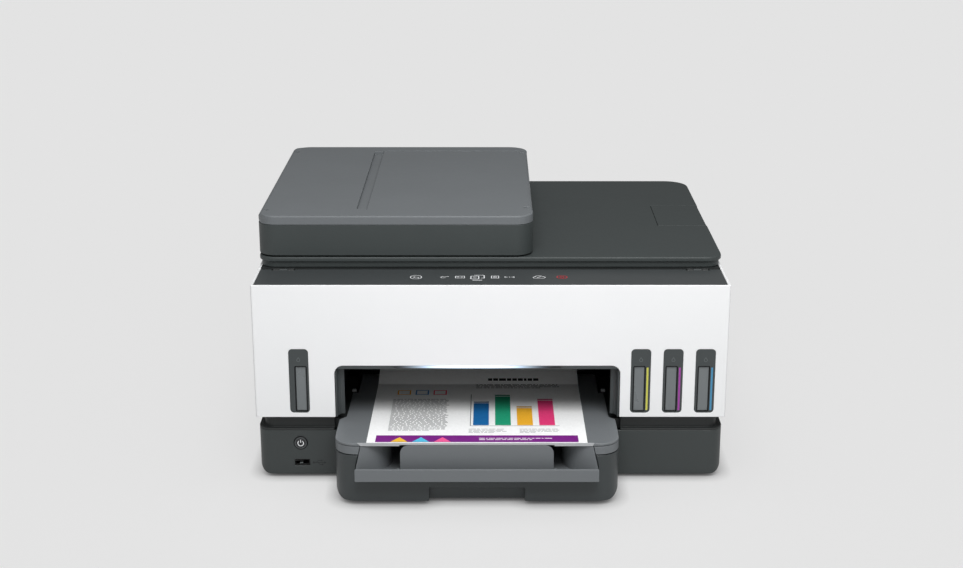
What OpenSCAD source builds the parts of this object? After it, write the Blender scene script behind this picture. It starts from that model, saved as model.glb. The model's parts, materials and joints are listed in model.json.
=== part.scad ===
// Ink-tank printer with a flatbed scanner and a document feeder.
// Millimetres. +Z is up, the front faces -Y, and the origin is the centre of the footprint.

/* [Body] */
// Width of the casing
body_w = 449.6; // [440:1:560]
// Depth from the front face to the back of the scanner lid
body_d = 373; // [360:1:460]
// Height of the dark base below its ledge
base_h = 47.3; // [46:0.5:60]
// Height of the set-back neck between base and casing
neck_h = 12.3; // [8:0.5:20]
// Height of the white front
front_h = 131.9; // [125:1:170]
// Thickness of the casing walls
wall = 2.5; // [1.8:0.1:3.2]
// Height of the rubber feet
foot_h = 3; // [2:0.5:8]

/* [Scanner lid] */
// Thickness of the scanner lid
lid_t = 10.5; // [8:0.5:16]
// Radius of the front corners of the lid, seen from above
lid_front_r = 16; // [6:1:24]
// Radius of the rear corners of the lid, seen from above
lid_rear_r = 25; // [6:1:30]
// Length of the platen glass, across the printer
glass_l = 306; // [300:1:320]
// Width of the platen glass, front to back
glass_w = 222; // [216:1:240]

/* [Document feeder] */
// Width of the document feeder
adf_w = 266; // [256:1:300]
// Height of its dark body
adf_h = 30.3; // [28:0.5:40]
// Height of its grey top cover
cover_h = 8.6; // [7:0.2:12]
// Radius of its front corners, seen from above
adf_front_r = 18; // [6:1:20]
// Radius of its rear corners, seen from above
adf_rear_r = 21; // [6:1:21]

/* [Front] */
// Depth of the front door with its control strip
door_d = 54; // [48:1:60]
// Distance from the left side of the casing to the output bay
bay_left = 76.9; // [76:0.5:84]
// Distance from the output bay to the right side of the casing
bay_right = 102; // [101:0.5:110]
// Height of the output bay above the neck
bay_h = 51.6; // [46:0.5:60]
// Width of an ink window plate
plate_w = 18.7; // [17:0.1:20]
// Height of an ink window plate
plate_h = 64.3; // [58:0.1:70]
// Distance between the colour windows
window_pitch = 30.6; // [30:0.1:34]

/* [Paper] */
// Reach of the trays in front of the casing
tray_reach = 62.5; // [50:0.5:75]
// Further reach of the bar of the extension
bar_reach = 12.5; // [8:0.5:20]
// Height of the cassette front
cassette_h = 46.6; // [44:0.2:52]
// Length of the cassette inside the base
cassette_in = 256; // [250:1:300]
// Width of the pull-out extension
extension_w = 224.6; // [190:0.2:226]
// Width of a printed page
page_w = 204; // [148:1:206]
// Travel of the pull-out extension
extension_travel = 113; // [60:1:115]

/* [Hidden] */
$fn = 48;

// Clearances
seam = 0.4;        // between casing pieces that part
slide_gap = 0.3;   // between faces that slide past each other
running = 0.05;    // radial play of a shaft in its bore

// Heights above the underside of the base, and depths behind the front face
half_w = body_w / 2;
z_deck = base_h + neck_h - 0.5;
z_panel = base_h + neck_h;
z_top = z_panel + front_h;
z_lid = z_top + 0.5;
z_lid_top = z_lid + lid_t;
plinth_h = 1.6;
z_adf = z_lid_top + plinth_h;
z_adf_top = z_adf + adf_h;
z_cover = z_adf_top + seam;
z_cover_top = z_cover + cover_h;
y_bed = door_d + 3;
y_rear = body_d - 4;
y_inner = y_rear - wall;
z_bed = z_top - 26.5;

// Places across the printer
side_x = [-half_w, half_w];
bay_x = [-half_w + bay_left, half_w - bay_right];
bay_mid = (bay_x[0] + bay_x[1]) / 2;
tray_inset = 3.2;
tray_x = [bay_x[0] + tray_inset, bay_x[1] - tray_inset];
adf_x = [-half_w, -half_w + adf_w];
adf_y = [y_bed, y_rear];
z_bay = z_panel + bay_h;

// Ink windows: the black one on the left and three colour ones on the right
nose_w = 9.6;
nose_z = [z_panel + 6.6, z_panel + 50.8];
plate_z = [z_panel + 4.5, z_panel + 4.5 + plate_h];
black_x = -half_w + 44.5;
color_x = [for (i = [0:2]) half_w - 22.2 - window_pitch * (2 - i)];
tank_y = [3, 98];
tank_z = [z_deck, z_deck + 69];
neck_r = 7;
neck_top = tank_z[1] + 8;
cap_y = 30;

// Everything is drawn from the front face and the underside of the base
y_front = (tray_reach + bar_reach - body_d) / 2;
module in_frame() translate([0, y_front, foot_h]) children();

function grow(span, by) = [span[0] - by, span[1] + by];
function around(middle, size) = [middle - size / 2, middle + size / 2];
function span_of(span) = span[1] - span[0];

// A rectangle with round corners over two spans
module plan(x, y, r = 0) {
    w = span_of(x);
    d = span_of(y);
    translate([x[0], y[0]])
        if (r > 0) {
            translate([r, 0]) square([w - 2 * r, d]);
            translate([0, r]) square([w, d - 2 * r]);
            for (cx = [r, w - r], cy = [r, d - r]) translate([cx, cy]) circle(r);
        } else {
            square([w, d]);
        }
}
// A rectangle with one radius at its front corners and one at its rear corners
module mixed_plan(x, y, front, rear)
    intersection() {
        plan(x, [y[0], y[1] + 2 * front], front);
        plan(x, [y[0] - 2 * rear, y[1]], rear);
    }
module slab(x, y, z, r = 0)
    translate([0, 0, z[0]]) linear_extrude(span_of(z)) plan(x, y, r);
module mixed_slab(x, y, z, front, rear)
    translate([0, 0, z[0]]) linear_extrude(span_of(z)) mixed_plan(x, y, front, rear);
// Extrudes an outline drawn in X and Z along a span of Y
module along_y(y)
    translate([0, y[1], 0]) rotate([90, 0, 0]) linear_extrude(span_of(y)) children();
// Extrudes an outline drawn in Y and Z along a span of X
module along_x(x)
    translate([x[0], 0, 0]) rotate([90, 0, 90]) linear_extrude(span_of(x)) children();
module rod_x(x, y, z, r) along_x(x) translate([y, z]) circle(r);
module rod_y(x, y, z, r) along_y(y) translate([x, z]) circle(r);
module rod_z(x, y, z, r) translate([x, y, z[0]]) cylinder(r = r, h = span_of(z));
module on_side(side) mirror([side < 0 ? 1 : 0, 0, 0]) children();

// ---------- base and frame ----------

base_corner_r = 13;
base_edge_r = 9.5;
base_x = grow(side_x, -1.5);
base_y = [1.5, y_rear - 0.5];
flange_t = 2;
neck_x = grow(side_x, -6.8);
neck_y = [6, y_rear - 5];
neck_r_plan = 10;
button_at = [-half_w + 41.9, 32.3];
button_r = 6.3;
usb_x = around(-half_w + 42.9, 14.1);
usb_z = [8.8, 14.8];
channel_x = grow(tray_x, 1.6);

module base_outline(inset) {
    edge = base_edge_r - inset;
    intersection() {
        slab(grow(base_x, -inset), grow(base_y, -inset), [inset, base_h], base_corner_r - inset);
        along_y(base_y) {
            plan(grow(base_x, -inset), [inset, inset + 2 * edge], edge);
            plan(grow(base_x, -inset), [inset + edge, base_h]);
        }
    }
}

module base() color([0.24, 0.27, 0.27]) in_frame() {
    rail_h = 16;
    difference() {
        base_outline(0);
        base_outline(wall);
        slab(base_x, base_y, [base_h - flange_t, base_h + 1]);
        slab(grow(tray_x, 0.8), [0, 8], [wall, base_h]);
        rod_y(button_at[0], [0, 8], button_at[1], button_r + slide_gap);
        slab(grow(usb_x, 0.2), [0, 8], grow(usb_z, 0.2));
    }
    for (x = [channel_x[0] - wall, channel_x[1]])
        slab([x, x + wall], [12, base_y[1] - wall], [wall, wall + rail_h]);
}

foot_r = 9;
foot_x = half_w - 34.8;
foot_y = [30, y_rear - 29];
module feet() color([0.1, 0.1, 0.1]) in_frame()
    for (side = [-1, 1], y = foot_y) {
        rod_z(side * foot_x, y, [-foot_h, 0], foot_r);
    }

// Frame: flange on the base, neck, deck, side plates and the black box of the output bay
bay_back = 143;
duct_x = grow(bay_x, 2.1);
duct_low = z_deck - 16;
plate_low = z_deck + 2.4;
shaft_z = z_deck - 3.1;
exit_y = 150;
motor_y = 175;
feed_y = 205;
shaft_r = 3;
gear_x = [-half_w + 38.8, -half_w + 44.8];
gear_bay_x = [-half_w + 8.8, duct_x[0] - wall];
gear_bay_y = [130, 226];
deck_cut_y = 262;
pick_pivot = [290, 50];
pick_pivot_r = 3;
pick_x = around(bay_mid, 100);
board_x = [half_w - 89.8, half_w - 12.8];
board_y = [y_inner - 112, y_inner - 16];
board_z = z_deck + 4.9;
post_r = 3;
tray_slope = 1.9;
tray_top = z_panel - 1.1;
tray_plate = 2.5;
tray_back = 138;
ledge_w = 14;
wing_y = 10;
function tray_z(y) = tray_top - (y + tray_reach) * tan(tray_slope);

module tray_ledge(x)
    along_x([x, x + ledge_w])
        polygon([[12, duct_low], [tray_back, duct_low],
                 [tray_back, tray_z(tray_back) - tray_plate], [12, tray_z(12) - tray_plate]]);

module mid_frame() color([0.14, 0.15, 0.15]) in_frame() {
    difference() {
        union() {
            difference() {
                union() {
                    slab(base_x, base_y, [base_h - flange_t, base_h], base_corner_r);
                    slab(neck_x, neck_y, [base_h - flange_t, z_deck], neck_r_plan);
                    slab(neck_x, [door_d + 4, neck_y[1]], [z_deck - 1, z_panel], neck_r_plan);
                }
                slab(grow(neck_x, -wall), grow(neck_y, -wall), [0, z_deck - wall], neck_r_plan - wall);
                slab(grow(neck_x, -1.6), [0, neck_y[1] - 1.6], [z_deck, z_panel + 1], 8);
                slab(duct_x, [0, deck_cut_y], [0, z_panel + 1]);
                slab(gear_bay_x, gear_bay_y, [0, z_panel + 1]);
            }
            for (x = [duct_x[0] - wall, duct_x[1]]) {
                slab([x, x + wall], [12, feed_y + 25], [duct_low, plate_low]);
                slab([x, x + wall], [12, bay_back], [duct_low, z_bay + 3]);
            }
            for (x = [pick_x[0] - 3.4, pick_x[1] + 0.4])
                slab([x, x + 3], around(pick_pivot[0], 12), [pick_pivot[1] - 6, z_deck - 1]);
        }
        for (y = [exit_y, feed_y]) rod_x(grow(duct_x, 5), y, shaft_z, shaft_r + running);
        rod_x(grow(pick_x, 5), pick_pivot[0], pick_pivot[1], pick_pivot_r + running);
    }
    slab(duct_x, [12, bay_back], [z_bay + 0.5, z_bay + 3]);
    slab(duct_x, [bay_back - wall, bay_back], [z_deck + 16, z_bay + 1]);
    tray_ledge(duct_x[0]);
    tray_ledge(duct_x[1] - ledge_w);
    for (x = grow(board_x, -6), y = grow(board_y, -6)) rod_z(x, y, [z_deck - 1, board_z], post_r);
}

// ---------- casing ----------

casing_r = 14;
corner_y = y_rear - casing_r;
panel_y = [door_d + 2, corner_y - seam];
module side_panel(side) color([0.93, 0.94, 0.95]) in_frame() on_side(side) {
    slab([half_w - wall, half_w], panel_y, [z_panel, z_top]);
    slab([half_w - 8, half_w - wall], [door_d + 6, corner_y - 4], [z_panel, z_panel + 2]);
    for (y = [90, 170, 250, 330])
        slab([half_w - wall - 3, half_w - wall], [y, y + 2], [z_panel + 2, z_bed - 1]);
}
module side_panel_left() side_panel(-1);
module side_panel_right() side_panel(1);

rear_door_x = around(bay_mid, 226);
rear_door_z = [z_panel + 4, z_panel + 92];
rear_pin_r = 0.8;
rear_axis = [y_inner + wall / 2, rear_door_z[0] + wall / 2];
lid_hinge_x = 150;
lid_hinge_r = 3;
lid_pin_r = 2;
lid_axis = [y_rear + 0.8, z_top - 3.3];
inlet_x = around(-half_w + 40, 28);
inlet_z = [z_deck + 8, z_deck + 28];
port_x = [half_w - 70, half_w - 48];
port_w = 13;
port_z = [board_z + 1.6, board_z + 13];

module rear_cover() color([0.24, 0.27, 0.27]) in_frame() {
    difference() {
        mixed_slab(side_x, [corner_y, y_rear], [z_panel, z_top], 0, casing_r);
        mixed_slab(grow(side_x, -wall), [corner_y - 1, y_inner], [z_panel - 1, z_top + 1],
                   0, casing_r - wall);
        slab(grow(rear_door_x, seam), [y_inner - 1, y_rear + 1], grow(rear_door_z, seam));
        slab(grow(inlet_x, 0.2), [y_inner - 1, y_rear + 1], grow(inlet_z, 0.2));
        for (x = port_x) slab(around(x, port_w + 0.4), [y_inner - 1, y_rear + 1], grow(port_z, 0.2));
        for (side = [-1, 1])
            slab(around(side * lid_hinge_x, 26), [y_inner - 1, y_rear + 1], [lid_axis[1] - 5, z_top + 1]);
    }
    slab([-half_w + 12, half_w - 12], [y_inner - 4, y_inner], [z_panel, z_panel + 2]);
    for (x = [rear_door_x[0] - seam, rear_door_x[1] - 5])
        rod_x([x, x + 5 + seam], rear_axis[0], rear_axis[1], rear_pin_r);
}

rib_step = 44;
rib_outline = [[y_inner + 1, rear_door_z[0] + 8], [y_inner + 1, rear_door_z[0] + 72],
               [y_inner - 16, rear_door_z[0] + 56], [y_inner - 16, rear_door_z[0] + 24]];
module rear_door() color([0.2, 0.22, 0.22]) in_frame()
    difference() {
        union() {
            slab(rear_door_x, [y_inner, y_rear], [rear_axis[1], rear_door_z[1]]);
            rod_x(rear_door_x, rear_axis[0], rear_axis[1], wall / 2);
            for (x = [rear_door_x[0] + 24 : rib_step : rear_door_x[1] - 20])
                along_x([x, x + 2]) polygon(rib_outline);
        }
        for (x = [rear_door_x[0] - 1, rear_door_x[1] - 5.5])
            rod_x([x, x + 6.5], rear_axis[0], rear_axis[1], rear_pin_r + running);
        slab(around(bay_mid, 40), [y_rear - 1, y_rear + 1], [rear_door_z[1] - 9, rear_door_z[1] + 1], 3);
    }

// ---------- scanner ----------

bed_x = grow(side_x, -wall);
bed_y = [y_bed, y_inner];
bed_mid_y = (bed_y[0] + bed_y[1]) / 2;
bed_plate = 4;
glass_t = 3;
glass_y = around(bed_mid_y, glass_w);
glass_x = [-half_w + 36, -half_w + 36 + glass_l];
strip_x = [-half_w + 10, -half_w + 28];
glass_rest = 3;
scan_rod_r = 4;
scan_rod_z = z_bed + 10;
boss_l = 4;
door_axis = [door_d + 0.5, z_top - 2];
door_hinge_x = half_w - 24.8;
door_knuckle = 8;
door_lug = 5.6;
door_pin_r = 1.4;

module round_lug(x, axis, r, wall_y, low, high)
    along_x(x) {
        translate(axis) circle(r);
        plan([min(axis[0], wall_y), max(axis[0], wall_y)], [low, high]);
    }

module scanner_bed() color([0.22, 0.24, 0.24]) in_frame() {
    difference() {
        mixed_slab(bed_x, bed_y, [z_bed, z_top], 0, casing_r - wall);
        mixed_slab(grow(bed_x, -wall), grow(bed_y, -wall), [z_bed + wall, z_top - bed_plate],
                   0, casing_r - 2 * wall);
        for (x = [glass_x, strip_x]) {
            slab(x, glass_y, [z_top - glass_t, z_top + 1]);
            slab(grow(x, -glass_rest), grow(glass_y, -glass_rest), [z_top - 2 * bed_plate, z_top]);
        }
    }
    difference() {
        for (side = [-1, 1]) on_side(side)
            slab([half_w - 2 * wall - boss_l, half_w - 2 * wall],
                 around(bed_mid_y, 14), [z_bed + wall, scan_rod_z + 6]);
        rod_x(bed_x, bed_mid_y, scan_rod_z, scan_rod_r + running);
    }
    for (side = [-1, 1]) on_side(side) {
        for (x = [door_hinge_x - 10, door_hinge_x + 4.4])
            round_lug([x, x + door_lug], door_axis, 2, y_bed + 1, door_axis[1] - 1.9, door_axis[1] + 1.7);
        rod_x(around(door_hinge_x, 16), door_axis[0], door_axis[1], door_pin_r);
        for (x = [lid_hinge_x - 12, lid_hinge_x + 6.4])
            round_lug([x, x + 5.6], lid_axis, lid_hinge_r, y_inner - 1, lid_axis[1] - 3, lid_axis[1] + 2.8);
        rod_x(around(lid_hinge_x, 18), lid_axis[0], lid_axis[1], lid_pin_r);
    }
}

module scan_glass() color([0.75, 0.85, 0.85, 0.5]) in_frame()
    for (x = [glass_x, strip_x]) slab(grow(x, -0.1), grow(glass_y, -0.1), [z_top - glass_t, z_top]);

module scan_rod() color([0.75, 0.76, 0.78]) in_frame()
    rod_x(grow(bed_x, -wall), bed_mid_y, scan_rod_z, scan_rod_r);

scan_bar_w = 16;
scan_bar_x = around((strip_x[0] + strip_x[1]) / 2, scan_bar_w);
module scan_bar() color([0.12, 0.12, 0.13]) in_frame()
    difference() {
        slab(scan_bar_x, grow(glass_y, 3), [z_bed + 4, z_top - bed_plate - 0.4]);
        rod_x(grow(scan_bar_x, 1), bed_mid_y, scan_rod_z, scan_rod_r + running);
        slab(grow(scan_bar_x, -5), grow(glass_y, -2), [z_top - bed_plate - 2.4, z_top]);
    }

// ---------- front ----------

door_r = 2;
bezel_r = 8;
bezel_lip = 8;
bezel_d = 12;
panel_t = 2.8;
nose_clear = 1.1;
plate_t = 1.2;
plate_r = 3.7;
noses = concat([black_x], color_x);
plates = concat([black_x - 1.8], [for (x = color_x) x + 1.3]);

module door_plan(inset)
    intersection() {
        plan(grow(side_x, -inset), [inset, door_d + 20], max(door_r - inset, 0.5));
        plan(side_x, [0, door_d]);
    }
module window_holes(y)
    for (x = noses) along_y(y) plan(around(x, nose_w + 2 * nose_clear), grow(nose_z, nose_clear), 1.5);

module front_door() color([0.94, 0.95, 0.96]) in_frame()
    difference() {
        union() {
            translate([0, 0, z_panel]) linear_extrude(front_h) difference() {
                door_plan(0);
                door_plan(wall);
            }
            translate([0, 0, z_top - 6]) linear_extrude(3) difference() {
                door_plan(wall - 0.5);
                plan(grow(side_x, -wall - 5), [wall + 5, door_d - 6]);
            }
            for (x = [-150 : 60 : 150])
                slab([x, x + 2], [wall - 0.5, door_d - 5], [z_top - 14, z_top - 3]);
        }
        along_y([-1, wall + 1]) plan(grow(bay_x, 0.5), [z_panel - 20, z_bay + 0.5], bezel_r + 0.5);
        for (x = plates) along_y([-1, plate_t]) plan(around(x, plate_w), plate_z, plate_r);
        window_holes([-1, wall + 1]);
        hinge_gaps([z_top - 7, z_top + 1]);
    }

module hinge_gaps(z)
    for (side = [-1, 1]) slab(around(side * door_hinge_x, 23), [door_d - 4, door_d + 1], z);
panel_z = [z_top - 3, z_top - 3 + panel_t];
module control_panel() color([0.25, 0.27, 0.28]) in_frame()
    difference() {
        union() {
            difference() {
                slab(grow(side_x, -wall - 0.2), [wall + 0.2, door_d - 0.4], panel_z, 0.8);
                hinge_gaps(grow(panel_z, 1));
            }
            for (side = [-1, 1]) on_side(side) {
                rod_x(around(door_hinge_x, door_knuckle), door_axis[0], door_axis[1], 2);
                slab(around(door_hinge_x, door_knuckle), [door_d - 5, door_axis[0]],
                     [panel_z[0], panel_z[1] - 0.6]);
            }
        }
        for (side = [-1, 1])
            rod_x(around(side * door_hinge_x, door_knuckle + 2), door_axis[0], door_axis[1],
                  door_pin_r + running);
    }

module window_plates() color([0.2, 0.22, 0.23]) in_frame()
    difference() {
        for (x = plates) along_y([0, plate_t]) plan(around(x, plate_w), plate_z, plate_r);
        window_holes([-1, wall]);
    }

light_x = around(bay_mid, 159);
light_h = 1.8;
module bezel_side(x, way) {
    steps = 8;
    cove = [for (k = [0 : steps])
        [x + way * (1.5 + (bezel_lip - 1.5) * (1 - cos(90 * k / steps))), 0.3 + 9.7 * sin(90 * k / steps)]];
    translate([0, 0, z_panel]) linear_extrude(bay_h)
        polygon(concat([[x, 0.3]], cove, [[x + way * bezel_lip, bezel_d], [x, bezel_d]]));
}
module bay_bezel() color([0.22, 0.24, 0.24]) in_frame()
    difference() {
        union() {
            intersection() {
                along_y([0.3, bezel_d]) plan(bay_x, [z_panel - 20, z_bay], bezel_r);
                union() {
                    bezel_side(bay_x[0], 1);
                    bezel_side(bay_x[1], -1);
                    slab(bay_x, [0.3, bezel_d], [z_bay - 3, z_bay]);
                }
            }
            along_y([9, bezel_d]) difference() {
                plan(grow(bay_x, 3.6), [z_panel, z_bay + 2.6]);
                plan(grow(bay_x, -bezel_lip), [z_panel - 1, z_bay - 3]);
            }
        }
        slab(light_x, [0, 3], [z_bay - light_h, z_bay + 1]);
    }
module light_bar() color([0.75, 0.85, 1]) in_frame()
    slab(light_x, [0, 3], [z_bay - light_h, z_bay]);

module power_button() color([0.16, 0.17, 0.18]) in_frame() {
    rod_y(button_at[0], [0.9, 6], button_at[1], button_r);
    rod_y(button_at[0], [5, 6.5], button_at[1], button_r + 1.4);
}

module front_usb_port() color([0.55, 0.56, 0.58]) in_frame() {
    difference() {
        slab(usb_x, [1.8, 16], usb_z);
        slab(grow(usb_x, -0.7), [0, 14], grow(usb_z, -0.6));
    }
    slab(grow(usb_x, -0.5), [4, 15], [usb_z[0] + 0.2, usb_z[0] + 0.9]);
}

// ---------- print engine ----------

rail_y = 200;
rail_z = z_deck + 41;
rail_r = 4;
rail_x = [-half_w + 16.8, half_w - 9.8];
back_y = [214, 217];
cheek_t = 3;
belt_z = z_deck + 61;
belt_y = [207, 212.5];
belt_r = 6.1;
belt_t = 1.2;
pulley_x = grow(rail_x, -18);
motor_shaft_r = 1.5;
carriage_w = 60;
carriage_x = [half_w - 76.8, half_w - 76.8 + carriage_w];
carriage_y = [150, 205];
carriage_z = [z_deck + 6.9, z_deck + 71];
head_x = [for (k = [0, 1]) carriage_x[0] + 4 + 28 * k];
head_w = 24;
head_y = [156, 192];
head_z = [z_deck + 4.4, z_deck + 38];

module platen() color([0.1, 0.1, 0.11]) in_frame() {
    slab(duct_x, [160, 196], [z_deck - 6, z_deck + 0.4]);
    for (x = [duct_x[0] + 40 : 12 : duct_x[1] - 36])
        slab([x, x + 1.5], [161, 195], [z_deck, plate_low + 0.1]);
}

module carriage_rail() color([0.62, 0.64, 0.66]) in_frame()
    difference() {
        union() {
            slab(rail_x, back_y, [z_deck + 21, z_deck + 81]);
            for (x = [rail_x[0], rail_x[1] - cheek_t])
                slab([x, x + cheek_t], [rail_y - 6, back_y[1] + 28], [z_panel, z_deck + 81]);
            rod_x(rail_x, rail_y, rail_z, rail_r);
            rod_y(pulley_x[0], [belt_y[0] - 1, back_y[1]], belt_z, motor_shaft_r);
        }
        rod_y(pulley_x[1], grow(back_y, 1), belt_z, 5);
    }

module belt_loop(r) {
    along_y(belt_y) {
        plan(pulley_x, around(belt_z, 2 * r));
        for (x = pulley_x) translate([x, belt_z]) circle(r);
    }
}
module timing_belt() color([0.09, 0.09, 0.09]) in_frame()
    difference() {
        belt_loop(belt_r + belt_t);
        translate([0, 1, 0]) belt_loop(belt_r);
        translate([0, -1, 0]) belt_loop(belt_r);
    }
module carriage_motor() color([0.5, 0.51, 0.53]) in_frame() {
    rod_y(pulley_x[1], [back_y[1], back_y[1] + 28], belt_z, 14);
    rod_y(pulley_x[1], [belt_y[0] - 1, back_y[1] + 1], belt_z, motor_shaft_r);
}
module pulley(x)
    in_frame() difference() {
        rod_y(x, belt_y, belt_z, belt_r - running);
        rod_y(x, grow(belt_y, 1), belt_z, motor_shaft_r + running);
    }
module motor_pulley() color([0.75, 0.65, 0.35]) pulley(pulley_x[1]);
module idler_pulley() color([0.85, 0.85, 0.83]) pulley(pulley_x[0]);

clip_x = [carriage_x[0] + 22, carriage_x[0] + 38];
clip_gap = 0.5;
belt_run = belt_z - belt_r - belt_t / 2;
module carriage() color([0.13, 0.14, 0.15]) in_frame()
    difference() {
        union() {
            slab(carriage_x, carriage_y, carriage_z, 3);
            slab(clip_x, [carriage_y[1] - 1, belt_y[1] + 0.5],
                 around(belt_run, belt_t + 2 * clip_gap + 5));
        }
        slab(grow(clip_x, 1), [belt_y[0] - 1, belt_y[1] + 1], around(belt_run, belt_t + 2 * clip_gap));
        rod_x(grow(carriage_x, 1), rail_y, rail_z, rail_r + running);
        for (x = head_x)
            slab([x, x + head_w], head_y, [carriage_z[0] - 1, head_z[1] + slide_gap]);
        slab(grow(carriage_x, -4), [156, 188], [head_z[1] + 8, carriage_z[1] + 1], 2);
    }
module printheads() color([0.08, 0.08, 0.1]) in_frame()
    for (x = head_x) slab(grow([x, x + head_w], -slide_gap), grow(head_y, -slide_gap), head_z);

module service_station() color([0.2, 0.2, 0.22]) in_frame()
    difference() {
        slab(grow(carriage_x, -1), [152, 196], [z_deck, head_z[0] - 0.4], 3);
        for (x = head_x) slab(grow([x, x + head_w], -3), grow(head_y, -3), [z_deck + 2, z_deck + 6], 2);
    }

// Involute spur gears, pressure angle 20 degrees
module_mm = 1;
feed_teeth = 30;
exit_teeth = 20;
tooth_slack = 0.15;
flank_steps = 4;
function inva(a) = tan(a) * 180 / PI - a;
function half_tooth(r, n) =
    let (pitch = n * module_mm / 2, base_r = pitch * cos(20))
    90 / n - tooth_slack / pitch * 180 / PI + inva(20) - inva(acos(min(1, base_r / r)));
function polar(r, a) = [r * cos(a), r * sin(a)];
module gear_outline(n) {
    pitch = n * module_mm / 2;
    low = pitch * cos(20);
    root = pitch - 1.25 * module_mm;
    tip = pitch + module_mm;
    radii = [for (k = [0 : flank_steps]) low + (tip - low) * k / flank_steps];
    polygon([for (tooth = [0 : n - 1]) let (a = 360 * tooth / n) each concat(
        [polar(root, a - half_tooth(low, n))],
        [for (k = [0 : flank_steps]) polar(radii[k], a - half_tooth(radii[k], n))],
        [for (k = [flank_steps : -1 : 0]) polar(radii[k], a + half_tooth(radii[k], n))],
        [polar(root, a + half_tooth(low, n))])]);
}

feed_motor_r = 14;
feed_motor_x = [gear_x[0] - 28, gear_x[0] - 4];
module feed_motor() color([0.55, 0.56, 0.58]) in_frame() {
    rod_x(feed_motor_x, motor_y, shaft_z, feed_motor_r);
    rod_x([feed_motor_x[0], gear_x[1] + 1], motor_y, shaft_z, motor_shaft_r);
    slab([feed_motor_x[1], feed_motor_x[1] + 2], grow(gear_bay_y, 6), [z_deck, z_deck + 9]);
    slab([feed_motor_x[1], feed_motor_x[1] + 2], around(motor_y, 36), [shaft_z - 15, z_deck + 1]);
}
module motor_gear() color([0.88, 0.86, 0.8]) in_frame()
    along_x(gear_x) translate([motor_y, shaft_z]) difference() {
        rotate(180 / feed_teeth) gear_outline(feed_teeth);
        circle(motor_shaft_r + running);
    }

module drive_roller(y, teeth, roll_r, rolls, roll_w) {
    rod_x([gear_x[0], duct_x[1] + wall], y, shaft_z, shaft_r);
    along_x(gear_x) translate([y, shaft_z]) gear_outline(teeth);
    pitch = (span_of(duct_x) - 30) / rolls;
    for (k = [0 : rolls - 1])
        rod_x(around(duct_x[0] + 15 + pitch * (k + 0.5), roll_w), y, shaft_z, roll_r);
}
module feed_roller() color([0.3, 0.31, 0.33]) in_frame()
    drive_roller(feed_y, feed_teeth, plate_low - shaft_z + 0.2, 1, span_of(duct_x) - 34);
module exit_roller() color([0.3, 0.31, 0.33]) in_frame()
    drive_roller(exit_y, exit_teeth, plate_low - shaft_z, 7, 12);

pick_at = [235, 32];
pick_r = 10;
pick_pin_r = 2;
arm_x = [bay_mid - 20, bay_mid + 17];
module pick_arm() color([0.16, 0.17, 0.18]) in_frame() {
    reach = norm(pick_pivot - pick_at);
    lean = atan2(pick_at[1] - pick_pivot[1], pick_at[0] - pick_pivot[0]);
    rod_x(grow(pick_x, 3.4), pick_pivot[0], pick_pivot[1], pick_pivot_r);
    for (x = arm_x) difference() {
        along_x([x, x + 3]) {
            translate(pick_pivot) circle(5);
            translate(pick_at) circle(5);
            translate(pick_pivot) rotate(lean) translate([0, -4]) square([reach, 8]);
        }
        rod_x([x - 1, x + 4], pick_at[0], pick_at[1], pick_pin_r + running);
    }
}
module pick_roller() color([0.2, 0.2, 0.2]) in_frame() {
    rod_x([arm_x[0] + 3.4, arm_x[1] - 0.4], pick_at[0], pick_at[1], pick_r);
    rod_x([arm_x[0], arm_x[1] + 3], pick_at[0], pick_at[1], pick_pin_r);
}

// ---------- ink ----------

tank_wall = 1.6;
fill_r = 5;
cap_r = 8.5;
cap_t = 3;
cap_gap = 0.3;
cap_axis = [cap_y + 12, neck_top + 1.8];
cap_pin_r = 1.2;
tube_r = 1.5;
tube_port_z = z_deck + 59;
tube_step = 6;
manifold_x = [-22, 2];

module ink_tank(x, w, nose_x) {
    difference() {
        union() {
            slab(around(x, w), tank_y, tank_z, 3);
            slab(around(nose_x, nose_w), [1.3, 6], nose_z);
            rod_z(x, cap_y, [tank_z[1] - 1, neck_top], neck_r);
        }
        slab(grow(around(x, w), -tank_wall), grow(tank_y, -tank_wall), grow(tank_z, -tank_wall), 2);
        rod_z(x, cap_y, [tank_z[1] - 3, neck_top + 1], fill_r);
        slab(grow(around(nose_x, nose_w), -tank_wall), [1.3 + tank_wall, 6], grow(nose_z, -tank_wall));
    }
    for (side = [-1, 1])
        slab(around(x + side * 4, 2), around(cap_axis[0], 4.4), [tank_z[1] - 0.5, cap_axis[1] + 1.8]);
    rod_x(around(x, 8), cap_axis[0], cap_axis[1], cap_pin_r);
}
module tank_cap(x) in_frame() difference() {
    union() {
        rod_z(x, cap_y, [neck_top + cap_gap, neck_top + cap_gap + cap_t], cap_r);
        slab(around(x, 5.2), [cap_y, cap_axis[0]], [neck_top + cap_gap, neck_top + cap_gap + cap_t]);
        rod_x(around(x, 5.2), cap_axis[0], cap_axis[1], 2);
        slab(around(x, 7), [cap_y - cap_r - 4, cap_y], [neck_top + 0.8, neck_top + 2.8], 1.5);
    }
    rod_x(around(x, 8), cap_axis[0], cap_axis[1], cap_pin_r + running);
}
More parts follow.
